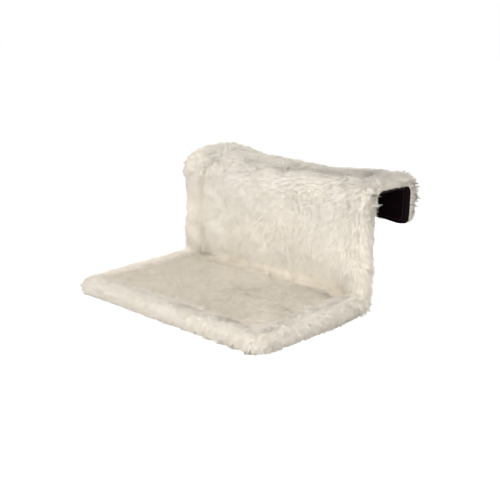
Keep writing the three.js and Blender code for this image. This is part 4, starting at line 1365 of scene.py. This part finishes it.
class CATBED_OT_wadding(bpy.types.Operator):
    """Fibre pads under the plush of the seat and the back"""

    bl_idname = "catbed.wadding"
    bl_label = "Wadding pads"

    def execute(self, context):
        material = wadding_material(context.scene.catbed_colours)
        half, top = high("seat_wadding", 0), high("seat_wadding", 2)
        rise = BACK - (LIFT + CORNER_BEND)
        pads = (("seat_pad", "seat_wadding", 1, -FRONT_Y, 41), ("back_pad", "back_wadding", 2, rise, 42))
        for name, node, axis, shift, seed in pads:
            made = soft_pad(name, low(node, axis) + shift, high(node, axis) + shift, half, top, seed)
            dress(made, material, "bed")
            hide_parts(node)
        return {"FINISHED"}


class CATBED_OT_closure_tapes(bpy.types.Operator):
    """Loop and hook tapes that close the cover at its hem"""

    bl_idname = "catbed.closure_tapes"
    bl_label = "Closure tapes"

    def execute(self, context):
        columns, rows = 121, 8
        for node, loops in (("closure_tape_loop", True), ("closure_tape_hook", False)):
            low_end, high_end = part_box(node)
            across = np.linspace(low_end.x, high_end.x, columns)
            across, fall = np.meshgrid(across, np.linspace(low_end.z, high_end.z, rows))
            ripple = RIPPLE * np.sin(across / RIPPLE_LENGTH) * (0.5 if loops else 1.0)
            face_y = low_end.y + TAPE_FACE if loops else high_end.y - TAPE_FACE
            points = np.stack([across, face_y + ripple, fall], -1).reshape(-1, 3)
            made = mesh_object(node + "_strip", points, grid_faces(rows, columns))
            thickened(made, TAPE_THICKNESS, 0.0)
            dress(made, tape_material(context.scene.catbed_colours, loops), "hook")
            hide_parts(node)
        return {"FINISHED"}


class CATBED_OT_hardware(bpy.types.Operator):
    """Finishes of the tubes, the screws and nuts, and the plastic bushes, guides and knobs"""

    bl_idname = "catbed.hardware"
    bl_label = "Hardware finishes"

    def execute(self, context):
        colours = context.scene.catbed_colours
        steel = ("crossbar_plug", "crossbar_screw", "seat_joint_screw", "seat_joint_nut", "weld_nut")
        finishes = (
            (paint_material(colours), ("seat_tube", "hook_tube", "corner_crossbar", "upright_tube")),
            (zinc_material(colours), steel),
            (plastic_material(colours), ("hook_bush", "hook_guide", "thumb_screw")),
        )
        for material, names in finishes:
            for node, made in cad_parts.items():
                if node.startswith(names):
                    for place in made.material_slots:
                        place.material = material
        return {"FINISHED"}


class CATBED_PT_pieces(bpy.types.Panel):
    """Lists the pieces of the cat bed"""

    bl_label = "Cat Bed"
    bl_space_type = "VIEW_3D"
    bl_region_type = "UI"
    bl_category = "Cat Bed"

    def draw(self, context):
        for group in (context.scene.catbed_sizes, context.scene.catbed_colours):
            box = self.layout.box()
            for name in group.__annotations__:
                box.prop(group, name)
        for piece in PIECES:
            self.layout.operator(piece.bl_idname)


PIECES = (
    CATBED_OT_stage,
    CATBED_OT_plush_cover,
    CATBED_OT_pile,
    CATBED_OT_lining,
    CATBED_OT_lining_seam,
    CATBED_OT_wadding,
    CATBED_OT_closure_tapes,
    CATBED_OT_hardware,
)
CLASSES = (CoverSizes, CoverColours, *PIECES, CATBED_PT_pieces)


def register():
    for made in CLASSES:
        bpy.utils.register_class(made)
    bpy.types.Scene.catbed_sizes = PointerProperty(type=CoverSizes)
    bpy.types.Scene.catbed_colours = PointerProperty(type=CoverColours)


def unregister():
    del bpy.types.Scene.catbed_colours
    del bpy.types.Scene.catbed_sizes
    for made in reversed(CLASSES):
        bpy.utils.unregister_class(made)


def main():
    register()
    bpy.ops.catbed.stage()
    bpy.ops.catbed.plush_cover()
    bpy.ops.catbed.pile()
    bpy.ops.catbed.lining()
    bpy.ops.catbed.lining_seam()
    bpy.ops.catbed.wadding()
    bpy.ops.catbed.closure_tapes()
    bpy.ops.catbed.hardware()


if __name__ == "__main__":
    main()
